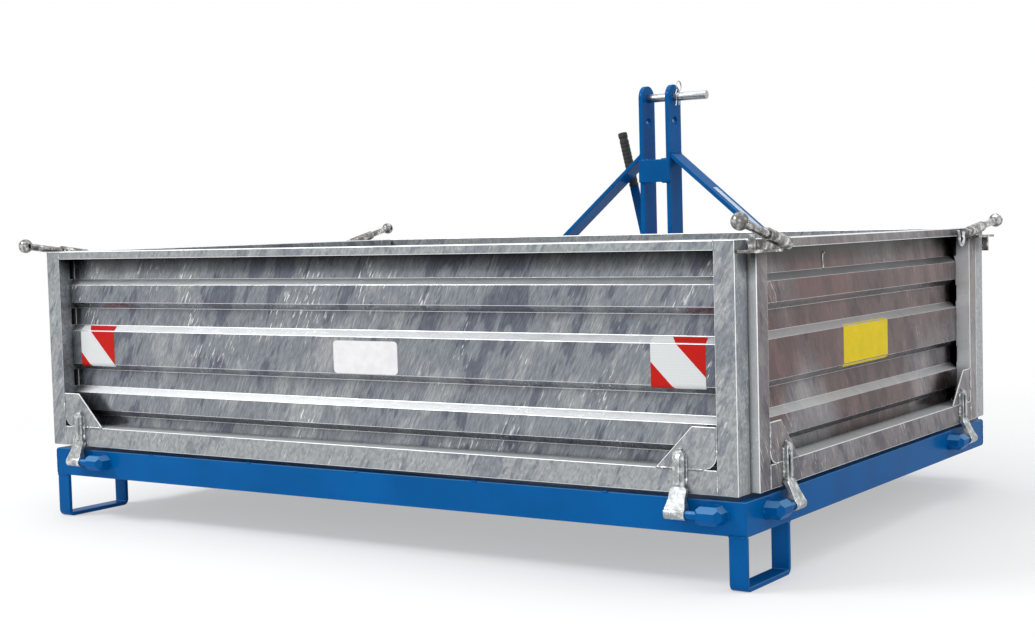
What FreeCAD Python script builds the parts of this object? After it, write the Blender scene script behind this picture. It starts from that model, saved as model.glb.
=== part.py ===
"""Rear-tipping transport box for a tractor's three-point linkage.

A blue headstock carries the mast, the braces and two arms that run back under the box to the
tipping shaft. The box is a steel frame with a flat floor, a fixed headboard and three galvanised
drop sides on lift-off pin hinges. Millimetres, +X to the right, +Y towards the tractor, +Z up,
ground at Z = 0. Stations along the box are counted forward from the rear face of its frame.
"""

import FreeCAD, Part
import math
import os

import Sketcher

V = FreeCAD.Vector
ALONG_X = FreeCAD.Rotation(V(0, 1, 0), 90)
ALONG_Y = FreeCAD.Rotation(V(1, 0, 0), -90)
SMALL_ROUND = 24  # sides of small round bars that nothing turns on
SMALL_HOLE = 12  # sides of the holes for retaining pins
CLIP_ROUND = 16  # sides of the clip's ring
WIRE_ROUND = 8  # sides of the clip's wire
KNOB_STEP = 36  # latitude between the edges of a ball knob's bands, degrees

# Every driving dimension: sheet alias, value, what it measures.
SIZES = (
    ("box_width", 2000, "base frame over its side rails"),
    ("box_depth", 1440, "base frame over its end rails"),
    ("clear_under", 110, "ground to the underside of the base frame"),
    ("rail_height", 70, "height of the frame rails"),
    ("rail_width", 50, "width of the frame rails"),
    ("rail_wall", 4, "wall of the frame rails"),
    ("member_width", 50, "width of the cross members under the floor"),
    ("member_height", 50, "height of the cross members"),
    ("member_wall", 3, "wall of the cross members"),
    ("member_rear", 230, "rear cross member, station of its centre"),
    ("member_front", 1060, "front cross member, station of its centre"),
    ("floor_sheet", 4, "thickness of the floor"),
    ("side_height", 505, "height of the sides"),
    ("side_gap", 10, "gap between the frame and the sides"),
    ("side_thick", 54, "thickness of the sides over their posts"),
    ("side_out", 4, "sides stand proud of the frame's outer faces"),
    ("rear_step", 9, "rear side's ends inside the left and right sides' faces, when centred"),
    ("head_step", 2, "headboard's ends inside the left and right sides' faces"),
    ("rear_slide", 9, "rear side sits this far to the left on its pins"),
    ("corner_gap", 6, "gap between neighbouring sides at the corners"),
    ("post_width", 46, "end posts of the rear side and headboard"),
    ("side_post", 50, "end posts of the left and right sides"),
    ("sill_height", 50, "bottom rail of each side"),
    ("cap_height", 20, "top rail of each side"),
    ("side_wall", 3, "wall of the sides' posts and rails"),
    ("sheet_thick", 2, "corrugated sheet"),
    ("rib_inset", 36, "rib crests behind the posts' outer faces"),
    ("rib_depth", 16, "depth of the ribs"),
    ("rib_pitch", 140, "height between rib centres"),
    ("rib_first", 114, "lowest rib's centre above the side's bottom edge"),
    ("rib_narrow", 45, "crest height of the lowest and highest rib"),
    ("rib_broad", 86, "crest height of the middle rib"),
    ("rib_run", 15, "height of each sloping flank"),
    ("gusset_top", 55, "top width of the corner gussets"),
    ("gusset_foot", 138, "bottom width of the corner gussets"),
    ("gusset_thick", 4, "thickness of the corner gussets"),
    ("gusset_relief", 30, "rounding of the gusset's corner between post and sill"),
    ("hinge_out", 27, "hinge pin axis outboard of the frame's face"),
    ("hinge_up", 42, "hinge pin axis above the underside of the frame"),
    ("hinge_pin", 8.5, "radius of the hinge pins"),
    ("hinge_play", 0.08, "radial clearance on the hinge pins"),
    ("eye_radius", 12, "outer radius of the hinge eyes"),
    ("eye_width", 46, "length of the hinge eyes and width of the straps' feet"),
    ("strap_top", 127, "top of the hinge straps above the pin axis"),
    ("strap_thick", 10, "thickness of the hinge straps"),
    ("strap_tip", 26, "width of the straps near their top"),
    ("strap_collar", 52, "collar of the straps above the pin axis"),
    ("strap_heel", 46, "where a strap leaves the side's face, above the pin axis"),
    ("strap_knee", 28, "where a strap turns in towards the side, above the pin axis"),
    ("strap_flare", 11, "run of a strap's bend from the side's face to its eye"),
    ("strap_shoulder", 6, "collar and foot beyond the strap's body, each side"),
    ("strap_rib", 9, "width of the raised rib on the straps"),
    ("strap_proud", 4, "height of the raised rib on the straps"),
    ("strap_dome", 8, "cut of the straps' upper corners"),
    ("lug_gap", 19, "bare pin between an eye and its lug"),
    ("lug_length", 60, "length of the hinge lugs"),
    ("lug_height", 38, "height of the hinge lugs"),
    ("lug_nose", 14, "lugs' outer face beyond the pin axis"),
    ("lug_facet", 12, "cut of the lugs' corners"),
    ("pin_tail", 4, "hinge pin beyond its eye"),
    ("rear_hinge_left", 900, "left rear hinge eye, left of the centre line"),
    ("rear_hinge_right", 858, "right rear hinge eye, right of the centre line"),
    ("side_hinge_in", 180, "hinge eyes of the left and right sides from the frame's end faces"),
    ("foot_bar", 10, "thickness of the feet's flat bar"),
    ("foot_width", 40, "width of the feet's flat bar"),
    ("foot_length", 205, "length of the rear feet"),
    ("foot_bend", 16, "outer bend radius of the feet"),
    ("latch_out", 24, "latch rods outboard of the frame's side faces"),
    ("latch_rod", 9, "radius of the latch rods"),
    ("latch_play", 0.1, "radial clearance on the latch rods"),
    ("latch_inner", 168, "rear rods' inner ends, inboard of the frame's end face"),
    ("latch_inner_front", 197, "front rods' inner ends, inboard of the frame's end face"),
    ("latch_slide", 34, "left front rod slid inboard in its sleeve"),
    ("latch_reach", 54, "ball's centre beyond the frame's end face"),
    ("latch_low", 13, "rod's inner end below the sides' top edge"),
    ("latch_raised", 49, "ball's centre above the rod's inner end on a raised lever"),
    ("latch_lowered", 30, "ball's centre above the rod's inner end on a lowered lever"),
    ("latch_nut", 15, "length of the latch nuts"),
    ("nut_step", 4, "latch nuts' corners beyond the rod"),
    ("nut_gap", 5, "room for a washer between a latch nut and its sleeve"),
    ("sleeve_radius", 13.5, "outer radius of the latch sleeves"),
    ("sleeve_length", 86, "length of the rear latch sleeves"),
    ("sleeve_front", 110, "length of the front latch sleeves"),
    ("ball_radius", 18, "radius of the ball knobs"),
    ("latch_plate", 6, "thickness of the latch brackets' shelves"),
    ("latch_drop", 26, "shelf's underside below the sides' top edge"),
    ("shelf_edge", 35, "shelf's outer edge outboard of the frame's side face"),
    ("shelf_reach", 4, "shelf beyond the frame's end face"),
    ("shelf_tuck", 12, "long shelf's inner edge inboard of its side's outer face"),
    ("shelf_grip", 60, "length of the shelf along its own side"),
    ("shelf_clear", 8, "shelf's inner edge clear of the neighbouring side's end"),
    ("tongue_width", 16, "width of the latch tongues"),
    ("tongue_thick", 8, "thickness of the latch tongues"),
    ("tongue_drop", 36, "length of the tongues below their shelf"),
    ("tongue_in", 24, "tongue inboard of the shelf's end"),
    ("stop_width", 14, "width of the upright stop under a latch rod"),
    ("stop_thick", 6, "thickness of the stop"),
    ("stop_gap", 3, "gap between a stop and its rod"),
    ("stop_shift", 6, "stop's middle inboard of its rod"),
    ("saddle_step", 3, "saddle inside the ends of its grip"),
    ("slot_margin", 1, "post slots short of the sheet's flanks"),
    ("tip_station", 640, "tipping shaft, station"),
    ("tip_height", 75, "tipping shaft above the ground"),
    ("tip_radius", 15, "radius of the tipping shaft"),
    ("arm_out", 380, "arms' centre planes from the centre line"),
    ("arm_thick", 12, "thickness of the arms"),
    ("arm_half", 29, "half the height of the arms"),
    ("nose_cut", 17, "cut of the corners of the arms' ends and the tipping lugs"),
    ("tip_lug_thick", 12, "thickness of the tipping lugs"),
    ("tip_lug_gap", 6, "gap between an arm and the lugs beside it"),
    ("beam_station", 1463, "rear face of the headstock beam, station"),
    ("beam_depth", 80, "depth of the beam, fore and aft"),
    ("beam_half", 955, "half the length of the beam"),
    ("beam_wall", 5, "wall of the beam"),
    ("mast_gap", 76, "gap between the mast plates"),
    ("mast_thick", 14, "thickness of the mast plates"),
    ("mast_width", 75, "width of the mast plates"),
    ("top_pin_height", 1104, "upper top-link hole above the ground"),
    ("top_hole_step", 71, "lower top-link hole below the upper one"),
    ("top_pin_radius", 12.7, "top-link pin, category 2"),
    ("top_pin_play", 0.1, "radial clearance on the top-link pin"),
    ("top_pin_head", 14, "top-link pin beyond the left mast plate"),
    ("top_pin_tail", 108, "top-link pin beyond the right mast plate"),
    ("tie_low", 850, "lower edge of the mast's tie plate"),
    ("tie_height", 68, "height of the mast's tie plate"),
    ("tie_thick", 8, "thickness of the mast's tie plate"),
    ("brace_top", 937, "top of the braces at the mast"),
    ("brace_foot", 947, "outer end of the braces on the beam"),
    ("brace_thick", 12, "thickness of the braces"),
    ("brace_width", 70, "width of the braces"),
    ("link_spacing", 825, "lower hitch points, centre to centre, category 2"),
    ("mast_height", 610, "upper top-link hole above the lower hitch points, category 2"),
    ("link_pin_radius", 14, "lower hitch studs, category 2"),
    ("link_ball", 45, "width of the lower links' balls, category 2"),
    ("link_station", 1600, "lower hitch points, station"),
    ("stud_length", 80, "length of the lower hitch studs"),
    ("stud_hole", 6, "radius of the studs' retaining pin holes"),
    ("ear_thick", 15, "thickness of the hitch ears"),
    ("ear_nose", 32, "ears' ends beyond the studs' axis"),
    ("ear_cut", 19, "cut of the corners of the ears' ends"),
    ("ear_half", 52, "half the height of the ears at the post"),
    ("hitch_post_width", 80, "width of the hitch posts"),
    ("hitch_post_depth", 50, "depth of the hitch posts"),
    ("hitch_post_wall", 4, "wall of the hitch posts"),
    ("front_foot_out", 600, "inner face of the front feet from the centre line"),
    ("lever_pivot", 301, "release shaft above the ground"),
    ("lever_shaft", 10, "radius of the release shaft"),
    ("lever_play", 0.19, "bearing's corners clear of the release shaft"),
    ("lever_thick", 8, "thickness of the release lever"),
    ("lever_width", 28, "width of the release lever"),
    ("lever_length", 555, "release lever from its pivot to the grip"),
    ("lever_lean", 13, "lean of the lever to the left, degrees"),
    ("lever_off", 12, "gap between the mast and the lever"),
    ("grip_length", 172, "length of the grip"),
    ("grip_radius", 14.5, "radius of the grip"),
    ("catch_thick", 10, "thickness of the catch hook"),
    ("catch_station", 1450, "rear face of the catch hook, station"),
    ("catch_swing", 26, "catch hook turned clear of its peg, degrees"),
    ("peg_radius", 9, "radius of the catch peg"),
    ("peg_height", 215, "catch peg above the ground"),
    ("peg_length", 22, "length of the catch peg"),
    ("clip_wire", 2.2, "radius of the clip's wire"),
    ("clip_ring", 15, "middle radius of the clip's ring"),
    ("clip_out", 14, "clip's hole beyond the right mast plate"),
    ("clip_flat", 0.5, "clip's ring thicker than its leg, each side"),
    ("clip_play", 0.9, "radial clearance around the clip's wire"),
    ("mast_back", 5, "mast in front of the beam's rear face"),
    ("post_back", 7, "hitch posts in front of the beam's rear face"),
    ("shaft_over", 8, "tipping shaft beyond its outer lugs"),
    ("bearing_half", 24, "half the height of the release bearing"),
    ("bearing_back", 30, "release bearing in front of the mast plates' rear edges"),
    ("bearing_step", 3, "release bearing behind the mast plates' front edges"),
    ("hub_radius", 20, "radius of the hub of the lever and of the catch hook"),
    ("hook_neck", 16, "catch hook's left edge from its pivot"),
    ("hook_lip", 30, "catch hook's right edge from its pivot"),
    ("hook_play", 2, "clearance around the peg in the hook's jaw"),
    ("stud_hole_step", 12, "retaining pin hole beyond the link's ball"),
)


class Dim:
    """A length as a number together with the sheet expression that gives it."""

    def __init__(self, value, text):
        self.value = float(value)
        self.text = text

    def _joined(self, symbol, other, value):
        return Dim(value, f"({self.text} {symbol} {other.text})")

    def __add__(self, other):
        other = dim(other)
        return self._joined("+", other, self.value + other.value)

    def __sub__(self, other):
        other = dim(other)
        return self._joined("-", other, self.value - other.value)

    def __mul__(self, other):
        other = dim(other)
        return self._joined("*", other, self.value * other.value)

    def __truediv__(self, other):
        other = dim(other)
        return self._joined("/", other, self.value / other.value)

    def __radd__(self, other):
        return dim(other) + self

    def __rsub__(self, other):
        return dim(other) - self

    def __rmul__(self, other):
        return dim(other) * self

    def __neg__(self):
        return dim(0) - self


def dim(number):
    """Return a plain number as a Dim, and a Dim as it is."""
    if isinstance(number, Dim):
        return number
    return Dim(number, repr(float(number)))


def root(length):
    """Return the square root of a Dim."""
    return Dim(math.sqrt(length.value), f"sqrt({length.text})")


class SheetSizes:
    """The spreadsheet's cells as Dims, one attribute for each alias."""

    def __init__(self, document):
        sheet = document.addObject("Spreadsheet::Sheet", "Sizes")
        for row, (alias, value, note) in enumerate(SIZES, start=1):
            sheet.set(f"A{row}", alias)
            sheet.set(f"B{row}", str(value))
            sheet.set(f"C{row}", note)
            sheet.setAlias(f"B{row}", alias)
            setattr(self, alias, Dim(value, f"Sizes.{alias}"))


doc = FreeCAD.newDocument("TransportBox")
s = SheetSizes(doc)
doc.recompute()

# Levels and stations that several sub-parts share.
frame_top = s.clear_under + s.rail_height
half_width = s.box_width / 2
side_bottom = frame_top + s.side_gap
side_top = side_bottom + s.side_height
hinge_height = s.clear_under + s.hinge_up
end_inner = s.side_thick - s.side_out
side_start = end_inner + s.corner_gap
front_inner = s.box_depth - end_inner
side_end = front_inner - s.corner_gap
side_outer = half_width + s.side_out
side_inner = side_outer - s.side_thick
mast_outer = s.mast_gap / 2 + s.mast_thick
mast_station = s.beam_station + s.mast_back
link_height = s.top_pin_height - s.mast_height
front_reach = s.link_station + s.ear_nose
rear_reach = s.latch_reach + s.ball_radius
origin_station = (front_reach - rear_reach) / 2


# ---------------------------------------------------------------- construction helpers

def place(obj, at, turn=None):
    """Set an object's rotation, and bind its position to the sheet."""
    if turn is not None:
        obj.Placement = FreeCAD.Placement(V(0, 0, 0), turn)
    for axis, length in zip("xyz", at):
        obj.setExpression(f"Placement.Base.{axis}", dim(length).text)
    return obj


def bind(obj, **lengths):
    """Bind properties of an object to the sheet."""
    for name, length in lengths.items():
        obj.setExpression(name, dim(length).text)
    return obj


def block(name, low, high):
    """Return a box between two opposite corners."""
    low = [dim(length) for length in low]
    size = [dim(top) - bottom for bottom, top in zip(low, high)]
    obj = doc.addObject("Part::Box", name)
    bind(obj, Length=size[0], Width=size[1], Height=size[2])
    return place(obj, low)


def tube(name, low, high, wall, along, capped=False):
    """Return a hollow bar between two opposite corners, open at its ends along one axis.

    A capped tube is closed at its high end.
    """
    outer = block(name + "Outer", low, high)
    axis = "xyz".index(along)
    inner_low = [dim(length) + wall for length in low]
    inner_high = [dim(length) - wall for length in high]
    inner_low[axis] = low[axis]
    inner_high[axis] = high[axis] - wall if capped else high[axis]
    return cut(name, outer, block(name + "Bore", inner_low, inner_high))


def rod(name, radius, length, at, turn=None):
    """Return a cylinder that starts at a point and runs along Z, or along X or Y when turned."""
    obj = doc.addObject("Part::Cylinder", name)
    bind(obj, Radius=radius, Height=length)
    return place(obj, at, turn)


def cut(name, base, tool):
    """Return base less tool."""
    obj = doc.addObject("Part::Cut", name)
    obj.Base = base
    obj.Tool = tool
    obj.Refine = True
    return obj


def fuse(name, *shapes):
    """Return several overlapping or touching shapes as one."""
    obj = doc.addObject("Part::MultiFuse", name)
    obj.Shapes = list(shapes)
    obj.Refine = True
    return obj


def common(name, *shapes):
    """Return what several shapes share."""
    obj = doc.addObject("Part::MultiCommon", name)
    obj.Shapes = list(shapes)
    obj.Refine = True
    return obj


def mirrored(name, source, normal=V(1, 0, 0)):
    """Return the mirror image of a shape in a plane through the centre line."""
    obj = doc.addObject("Part::Mirroring", name)
    obj.Source = source
    obj.Normal = normal
    obj.Base = V(0, 0, 0)
    return obj


def origin_plane(body, role):
    """Return one of a body's own origin planes."""
    for feature in body.Origin.OriginFeatures:
        if feature.Role == role:
            return feature
    raise ValueError(role)


def draw_loop(sketch, corners):
    """Draw a closed loop of straight edges whose corners are bound to the sheet."""
    first = sketch.GeometryCount
    count = len(corners)
    points = [V(dim(u).value, dim(v).value, 0) for u, v in corners]
    for index, point in enumerate(points):
        sketch.addGeometry(Part.LineSegment(point, points[(index + 1) % count]), False)
    for index in range(count):
        following = first + (index + 1) % count
        sketch.addConstraint(Sketcher.Constraint("Coincident", first + index, 2, following, 1))
    for index, (u, v) in enumerate(corners):
        for kind, length in (("DistanceX", dim(u)), ("DistanceY", dim(v))):
            rule = Sketcher.Constraint(kind, -1, 1, first + index, 1, length.value)
            number = sketch.addConstraint(rule)
            sketch.setExpression(f"Constraints[{number}]", length.text)


def plate(name, plane, corners, thickness, at):
    """Return a PartDesign body: an outline padded from one of the body's planes.

    An outline on XY_Plane is padded up, on YZ_Plane to the right, and on XZ_Plane forwards.
    """
    body = doc.addObject("PartDesign::Body", name)
    sketch = body.newObject("Sketcher::SketchObject", name + "_outline")
    sketch.AttachmentSupport = [(origin_plane(body, plane), "")]
    sketch.MapMode = "FlatFace"
    draw_loop(sketch, corners)
    pad = body.newObject("PartDesign::Pad", name + "_pad")
    pad.Profile = sketch
    pad.Reversed = plane == "XZ_Plane"
    bind(pad, Length=thickness)
    body.Tip = pad
    return place(body, at)


def lathed(name, corners, at, turn):
    """Return a PartDesign body: an outline (radius, height) turned round the body's Z axis."""
    body = doc.addObject("PartDesign::Body", name)
    sketch = body.newObject("Sketcher::SketchObject", name + "_outline")
    sketch.AttachmentSupport = [(origin_plane(body, "XZ_Plane"), "")]
    sketch.MapMode = "FlatFace"
    draw_loop(sketch, corners)
    lathe = body.newObject("PartDesign::Revolution", name + "_lathe")
    lathe.Profile = sketch
    lathe.ReferenceAxis = (sketch, ["V_Axis"])
    lathe.Angle = 360
    body.Tip = lathe
    return place(body, at, turn)


def prism(name, sides, radius, length, at, turn=None):
    """Return a bar of regular section that starts at a point and runs as rod() does."""
    obj = doc.addObject("Part::Prism", name)
    obj.Polygon = sides
    bind(obj, Circumradius=radius, Height=length)
    return place(obj, at, turn)


def round_edges(body, radius, picks):
    """Round the straight edges of a body that pass through the given points of its own frame."""
    doc.recompute()
    base = body.Tip
    names = []
    for index, edge in enumerate(base.Shape.Edges, start=1):
        near = any(edge.distToShape(Part.Vertex(pick))[0] < 0.01 for pick in picks)
        if near and isinstance(edge.Curve, Part.Line):
            names.append(f"Edge{index}")
    fillet = body.newObject("PartDesign::Fillet", body.Name + "_rounding")
    fillet.Base = (base, names)
    bind(fillet, Radius=radius)
    body.Tip = fillet
    return body


nodes = []


def node(name, *shapes, across=0):
    """Gather the shapes of one named sub-part and move them to the part's origin."""
    group = doc.addObject("Part::Compound", name)
    group.Label = name
    group.Links = list(shapes)
    place(group, (across, -origin_station, 0))
    nodes.append(group)
    return group


# ---------------------------------------------------------------- base frame

def mitred_rail(name, near, far, along_x):
    """Return a hollow rail whose ends are cut at 45 degrees and open into the next rail."""
    reach = half_width if along_x else s.box_depth
    low = -half_width if along_x else dim(0)
    step = 1 if near.value < far.value else -1

    def section(inset, label, z_low, z_high):
        start = near + inset * step
        end = far - inset * step
        depth_near = s.rail_wall if inset.value else dim(0)
        depth_far = s.rail_width - depth_near
        ends = [(low + depth_near, start), (reach - depth_near, start)]
        ends += [(reach - depth_far, end), (low + depth_far, end)]
        corners = ends if along_x else [(across, run) for run, across in ends]
        return plate(name + label, "XY_Plane", corners, z_high - z_low, (0, 0, z_low))

    outer = section(dim(0), "_outer", s.clear_under, frame_top)
    inner = section(s.rail_wall, "_inner", s.clear_under + s.rail_wall, frame_top - s.rail_wall)
    return cut(name, outer, inner)


def base_frame():
    """Build the rails, cross members and floor."""
    rear = mitred_rail("RearRail", dim(0), s.rail_width, True)
    front = mitred_rail("FrontRail", s.box_depth, s.box_depth - s.rail_width, True)
    right = mitred_rail("RightRail", half_width, half_width - s.rail_width, False)
    left = mitred_rail("LeftRail", -half_width, s.rail_width - half_width, False)
    node("frame_end_rails", rear, front)
    node("frame_side_rails", left, right)
    top = frame_top - s.floor_sheet
    bottom = top - s.member_height
    reach = half_width - s.rail_width
    members = []
    for index, station in enumerate((s.member_rear, s.tip_station, s.member_front)):
        low = station - s.member_width / 2
        high = station + s.member_width / 2
        members.append(tube(f"CrossMember{index}", (-reach, low, bottom), (reach, high, top),
                            s.member_wall, "x"))
    node("frame_cross_members", *members)
    floor = block("Floor", (-reach, s.rail_width, top),
                  (reach, s.box_depth - s.rail_width, frame_top))
    node("floor_sheet", floor)


def foot_loop(name, length, at):
    """Return a U of flat bar that hangs below the frame and stands on the ground."""
    high = s.clear_under
    bar = s.foot_bar
    corners = [(0, high), (0, 0), (length, 0), (length, high)]
    corners += [(length - bar, high), (length - bar, bar), (bar, bar), (bar, high)]
    body = plate(name, "YZ_Plane", corners, s.foot_width, at)
    return round_edges(body, s.foot_bend, [V(5, 0, 0), V(5, dim(length).value, 0)])


def rear_feet():
    """Build the two feet under the rear corners."""
    right = foot_loop("RearFootBar", s.foot_length, (half_width - s.foot_width, 0, 0))
    node("rear_feet", right, mirrored("RearFootMirror", right))


def tipping_lugs():
    """Build the lugs that hang from the middle cross member on both sides of each arm."""
    top = frame_top - s.floor_sheet - s.member_height
    drop = top - s.tip_height
    half = s.arm_half
    flat = half - s.nose_cut
    corners = [(-half, drop), (-half, -flat), (-flat, -half), (flat, -half), (half, -flat),
               (half, drop)]
    lugs = []
    inner = s.arm_out - s.arm_thick / 2 - s.tip_lug_gap - s.tip_lug_thick
    outer = s.arm_out + s.arm_thick / 2 + s.tip_lug_gap
    for index, start in enumerate((inner, outer)):
        at = (start, s.tip_station, s.tip_height)
        web = plate(f"TipLugWeb{index}", "YZ_Plane", corners, s.tip_lug_thick, at)
        bore = rod(f"TipLugBore{index}", s.tip_radius + s.hinge_play, s.tip_lug_thick, at, ALONG_X)
        lug = cut(f"TipLug{index}", web, bore)
        lugs += [lug, mirrored(f"TipLugMirror{index}", lug)]
    node("tipping_lugs", *lugs)


# ---------------------------------------------------------------- sides

def ribs():
    """Return the lower and upper edge of each rib's crest, above the side's bottom edge."""
    edges = []
    for index, height in enumerate((s.rib_narrow, s.rib_broad, s.rib_narrow)):
        centre = s.rib_first + s.rib_pitch * index
        edges.append((centre - height / 2, centre + height / 2))
    return edges


def rib_profile():
    """Return the sheet's section: (depth behind the posts' faces, height above the sill's foot)."""
    crest = s.rib_inset
    valley = s.rib_inset + s.rib_depth
    line = [(valley, s.sill_height)]
    for low, high in ribs():
        line += [(valley, low - s.rib_run), (crest, low), (crest, high), (valley, high + s.rib_run)]
    line.append((valley, s.side_height - s.cap_height))
    inner = [(depth + s.sheet_thick, height) for depth, height in reversed(line)]
    return line + inner


def valley_slots(name, near, far):
    """Return cutters that open a post beside every valley of the sheet, between two plan points."""
    edges = [s.sill_height]
    for low, high in ribs():
        edges += [low - s.rib_run, high + s.rib_run]
    edges.append(s.side_height - s.cap_height)
    slots = []
    for index in range(0, len(edges), 2):
        low = side_bottom + edges[index] + s.slot_margin
        high = side_bottom + edges[index + 1] - s.slot_margin
        slots.append(block(f"{name}{index}", (*near, low), (*far, high)))
    return fuse(name, *slots)


def end_side(prefix, outer, inward, half):
    """Return posts, rails and sheet of a side across the box.

    outer is the station of its outer face, inward is 1 when its inside is forward of that, and
    half is half its width.
    """
    inner = outer + s.side_thick * inward
    low, high = (outer, inner) if inward > 0 else (inner, outer)
    reach = half - s.post_width
    tall = tube(prefix + "PostTube", (reach, low, side_bottom), (half, high, side_top),
                s.side_wall, "z", capped=True)
    crest = outer + s.rib_inset * inward
    back = inner - s.side_wall * inward
    near, far = (crest, back) if inward > 0 else (back, crest)
    slots = valley_slots(prefix + "PostSlots", (reach, near), (reach + s.side_wall, far))
    post = cut(prefix + "Post", tall, slots)
    posts = [post, mirrored(prefix + "PostMirror", post)]
    sill = tube(prefix + "Sill", (-reach, low, side_bottom),
                (reach, high, side_bottom + s.sill_height), s.side_wall, "x")
    cap = tube(prefix + "Cap", (-reach, low, side_top - s.cap_height), (reach, high, side_top),
               s.side_wall, "x")
    corners = [(depth * inward, height) for depth, height in rib_profile()]
    sheet = plate(prefix + "Sheet", "YZ_Plane", corners, reach * 2, (-reach, outer, side_bottom))
    return posts, [sill, cap], sheet


def gusset_corners():
    """Return a corner gusset's outline, counted from the inner foot of its post."""
    low = s.sill_height
    high = s.rib_first + s.rib_narrow / 2
    return [(0, low), (0, high), (-s.gusset_top, high), (-s.gusset_foot, low)]


def gusset(name, plane, corners, at):
    """Return a gusset whose corner between post and sill is rounded off."""
    sheet = plate(name, plane, corners, s.gusset_thick, at)
    middle = s.gusset_thick.value / 2
    level = s.sill_height.value
    corner = V(0, middle, level) if plane == "XZ_Plane" else V(middle, 0, level)
    return round_edges(sheet, s.gusset_relief, [corner])


def turned(corners):
    """Return a side view drawn for the rear as it is drawn for the right-hand side."""
    return [(-inboard, height) for inboard, height in corners]


def strap_section():
    """Return a hinge strap's side view: (inboard of the pin axis, above the pin axis)."""
    face = s.hinge_out - s.side_out
    back = face - s.strap_thick
    eye = s.eye_radius
    chamfer = s.strap_thick / 2
    inner = [(face, s.strap_top), (face, s.strap_heel), (face - s.strap_flare, s.strap_knee)]
    inner.append((eye, 0))
    outer = [(-eye, 0), (back - s.strap_flare, s.strap_knee), (back, s.strap_collar)]
    return inner + outer + [(back, s.strap_top - chamfer), (back + chamfer, s.strap_top)]


def strap_ridge():
    """Return the side view of the raised rib on a hinge strap, in the same frame."""
    back = s.hinge_out - s.side_out - s.strap_thick
    proud = back - s.strap_proud
    top = s.strap_top - s.strap_dome
    return [(back + 1, s.strap_collar), (proud, s.strap_collar + s.strap_proud),
            (proud, top - s.strap_proud * 2), (back + 1, top)]


def strap_front():
    """Return a hinge strap's front view: (across, above the pin axis)."""
    foot = s.eye_width / 2
    tip = s.strap_tip / 2
    wide = tip + s.strap_shoulder
    top = s.strap_top
    right = [(foot, -s.eye_radius), (foot, s.eye_radius), (wide, s.strap_knee),
             (wide, s.strap_collar - s.strap_proud), (tip, s.strap_collar),
             (tip, top - s.strap_dome), (tip - s.strap_dome, top)]
    left = [(-across, height) for across, height in reversed(right)]
    return right + left


def rear_strap(name, centre):
    """Return a forged hinge strap of the rear side, centred on a distance from the centre line."""
    out = -s.hinge_out
    start = centre - s.eye_width / 2
    side = plate(name + "SideView", "YZ_Plane", strap_section(), s.eye_width,
                 (start, out, hinge_height))
    eye = rod(name + "Eye", s.eye_radius, s.eye_width, (start, out, hinge_height), ALONG_X)
    front = plate(name + "FrontView", "XZ_Plane", strap_front(), s.hinge_out * 3,
                  (centre, out * 2, hinge_height))
    ridge = plate(name + "Ridge", "YZ_Plane", strap_ridge(), s.strap_rib,
                  (centre - s.strap_rib / 2, out, hinge_height))
    bar = common(name + "Bar", fuse(name + "Views", side, eye), front)
    bore = rod(name + "Bore", s.hinge_pin + s.hinge_play, s.eye_width,
               (start, out, hinge_height), ALONG_X)
    return cut(name, fuse(name + "Blank", bar, ridge), bore)


def side_strap(name, station):
    """Return a forged hinge strap of the right side, centred on a station."""
    start = station - s.eye_width / 2
    out = half_width + s.hinge_out
    side = plate(name + "SideView", "XZ_Plane", turned(strap_section()), s.eye_width,
                 (out, start, hinge_height))
    eye = rod(name + "Eye", s.eye_radius, s.eye_width, (out, start, hinge_height), ALONG_Y)
    front = plate(name + "FrontView", "YZ_Plane", strap_front(), s.hinge_out * 3,
                  (half_width - s.hinge_out, station, hinge_height))
    ridge = plate(name + "Ridge", "XZ_Plane", turned(strap_ridge()), s.strap_rib,
                  (out, station - s.strap_rib / 2, hinge_height))
    bar = common(name + "Bar", fuse(name + "Views", side, eye), front)
    bore = rod(name + "Bore", s.hinge_pin + s.hinge_play, s.eye_width,
               (out, start, hinge_height), ALONG_Y)
    return cut(name, fuse(name + "Blank", bar, ridge), bore)


def lug_section():
    """Return a hinge lug's side view: (inboard of the pin axis, above it)."""
    half = s.lug_height / 2
    facet = s.lug_facet
    nose = -s.lug_nose
    return [(s.hinge_out, -half), (s.hinge_out, half), (nose + facet, half), (nose, half - facet),
            (nose, facet - half), (nose + facet, -half)]


def lug_front():
    """Return a hinge lug's front view: (along the pin, above its axis)."""
    half = s.lug_height / 2
    end = s.lug_length
    facet = s.lug_facet
    return [(facet, -half), (end - facet, -half), (end, facet - half), (end, half - facet),
            (end - facet, half), (facet, half), (0, half - facet), (0, facet - half)]


def lug_plan():
    """Return a hinge lug's view from above: (along the pin, inboard of its axis)."""
    end = s.lug_length
    facet = s.lug_facet
    nose = -s.lug_nose
    return [(0, s.hinge_out), (0, nose + facet), (facet, nose), (end - facet, nose),
            (end, nose + facet), (end, s.hinge_out)]


def rear_pin(name, eye_centre):
    """Return a rear hinge pin with its lug, to the right of the eye that it carries."""
    out = -s.hinge_out
    low = hinge_height - s.lug_height / 2
    lug_start = eye_centre + s.eye_width / 2 + s.lug_gap
    pin_start = eye_centre - s.eye_width / 2 - s.pin_tail
    side = plate(name + "SideView", "YZ_Plane", lug_section(), s.lug_length,
                 (lug_start, out, hinge_height))
    front = plate(name + "FrontView", "XZ_Plane", lug_front(), s.hinge_out * 2,
                  (lug_start, out * 2, hinge_height))
    plan = plate(name + "Plan", "XY_Plane", lug_plan(), s.lug_height, (lug_start, out, low))
    pin = rod(name + "Pin", s.hinge_pin, lug_start - pin_start + s.lug_length / 2,
              (pin_start, out, hinge_height), ALONG_X)
    return fuse(name, common(name + "Lug", side, front, plan), pin)


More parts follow.
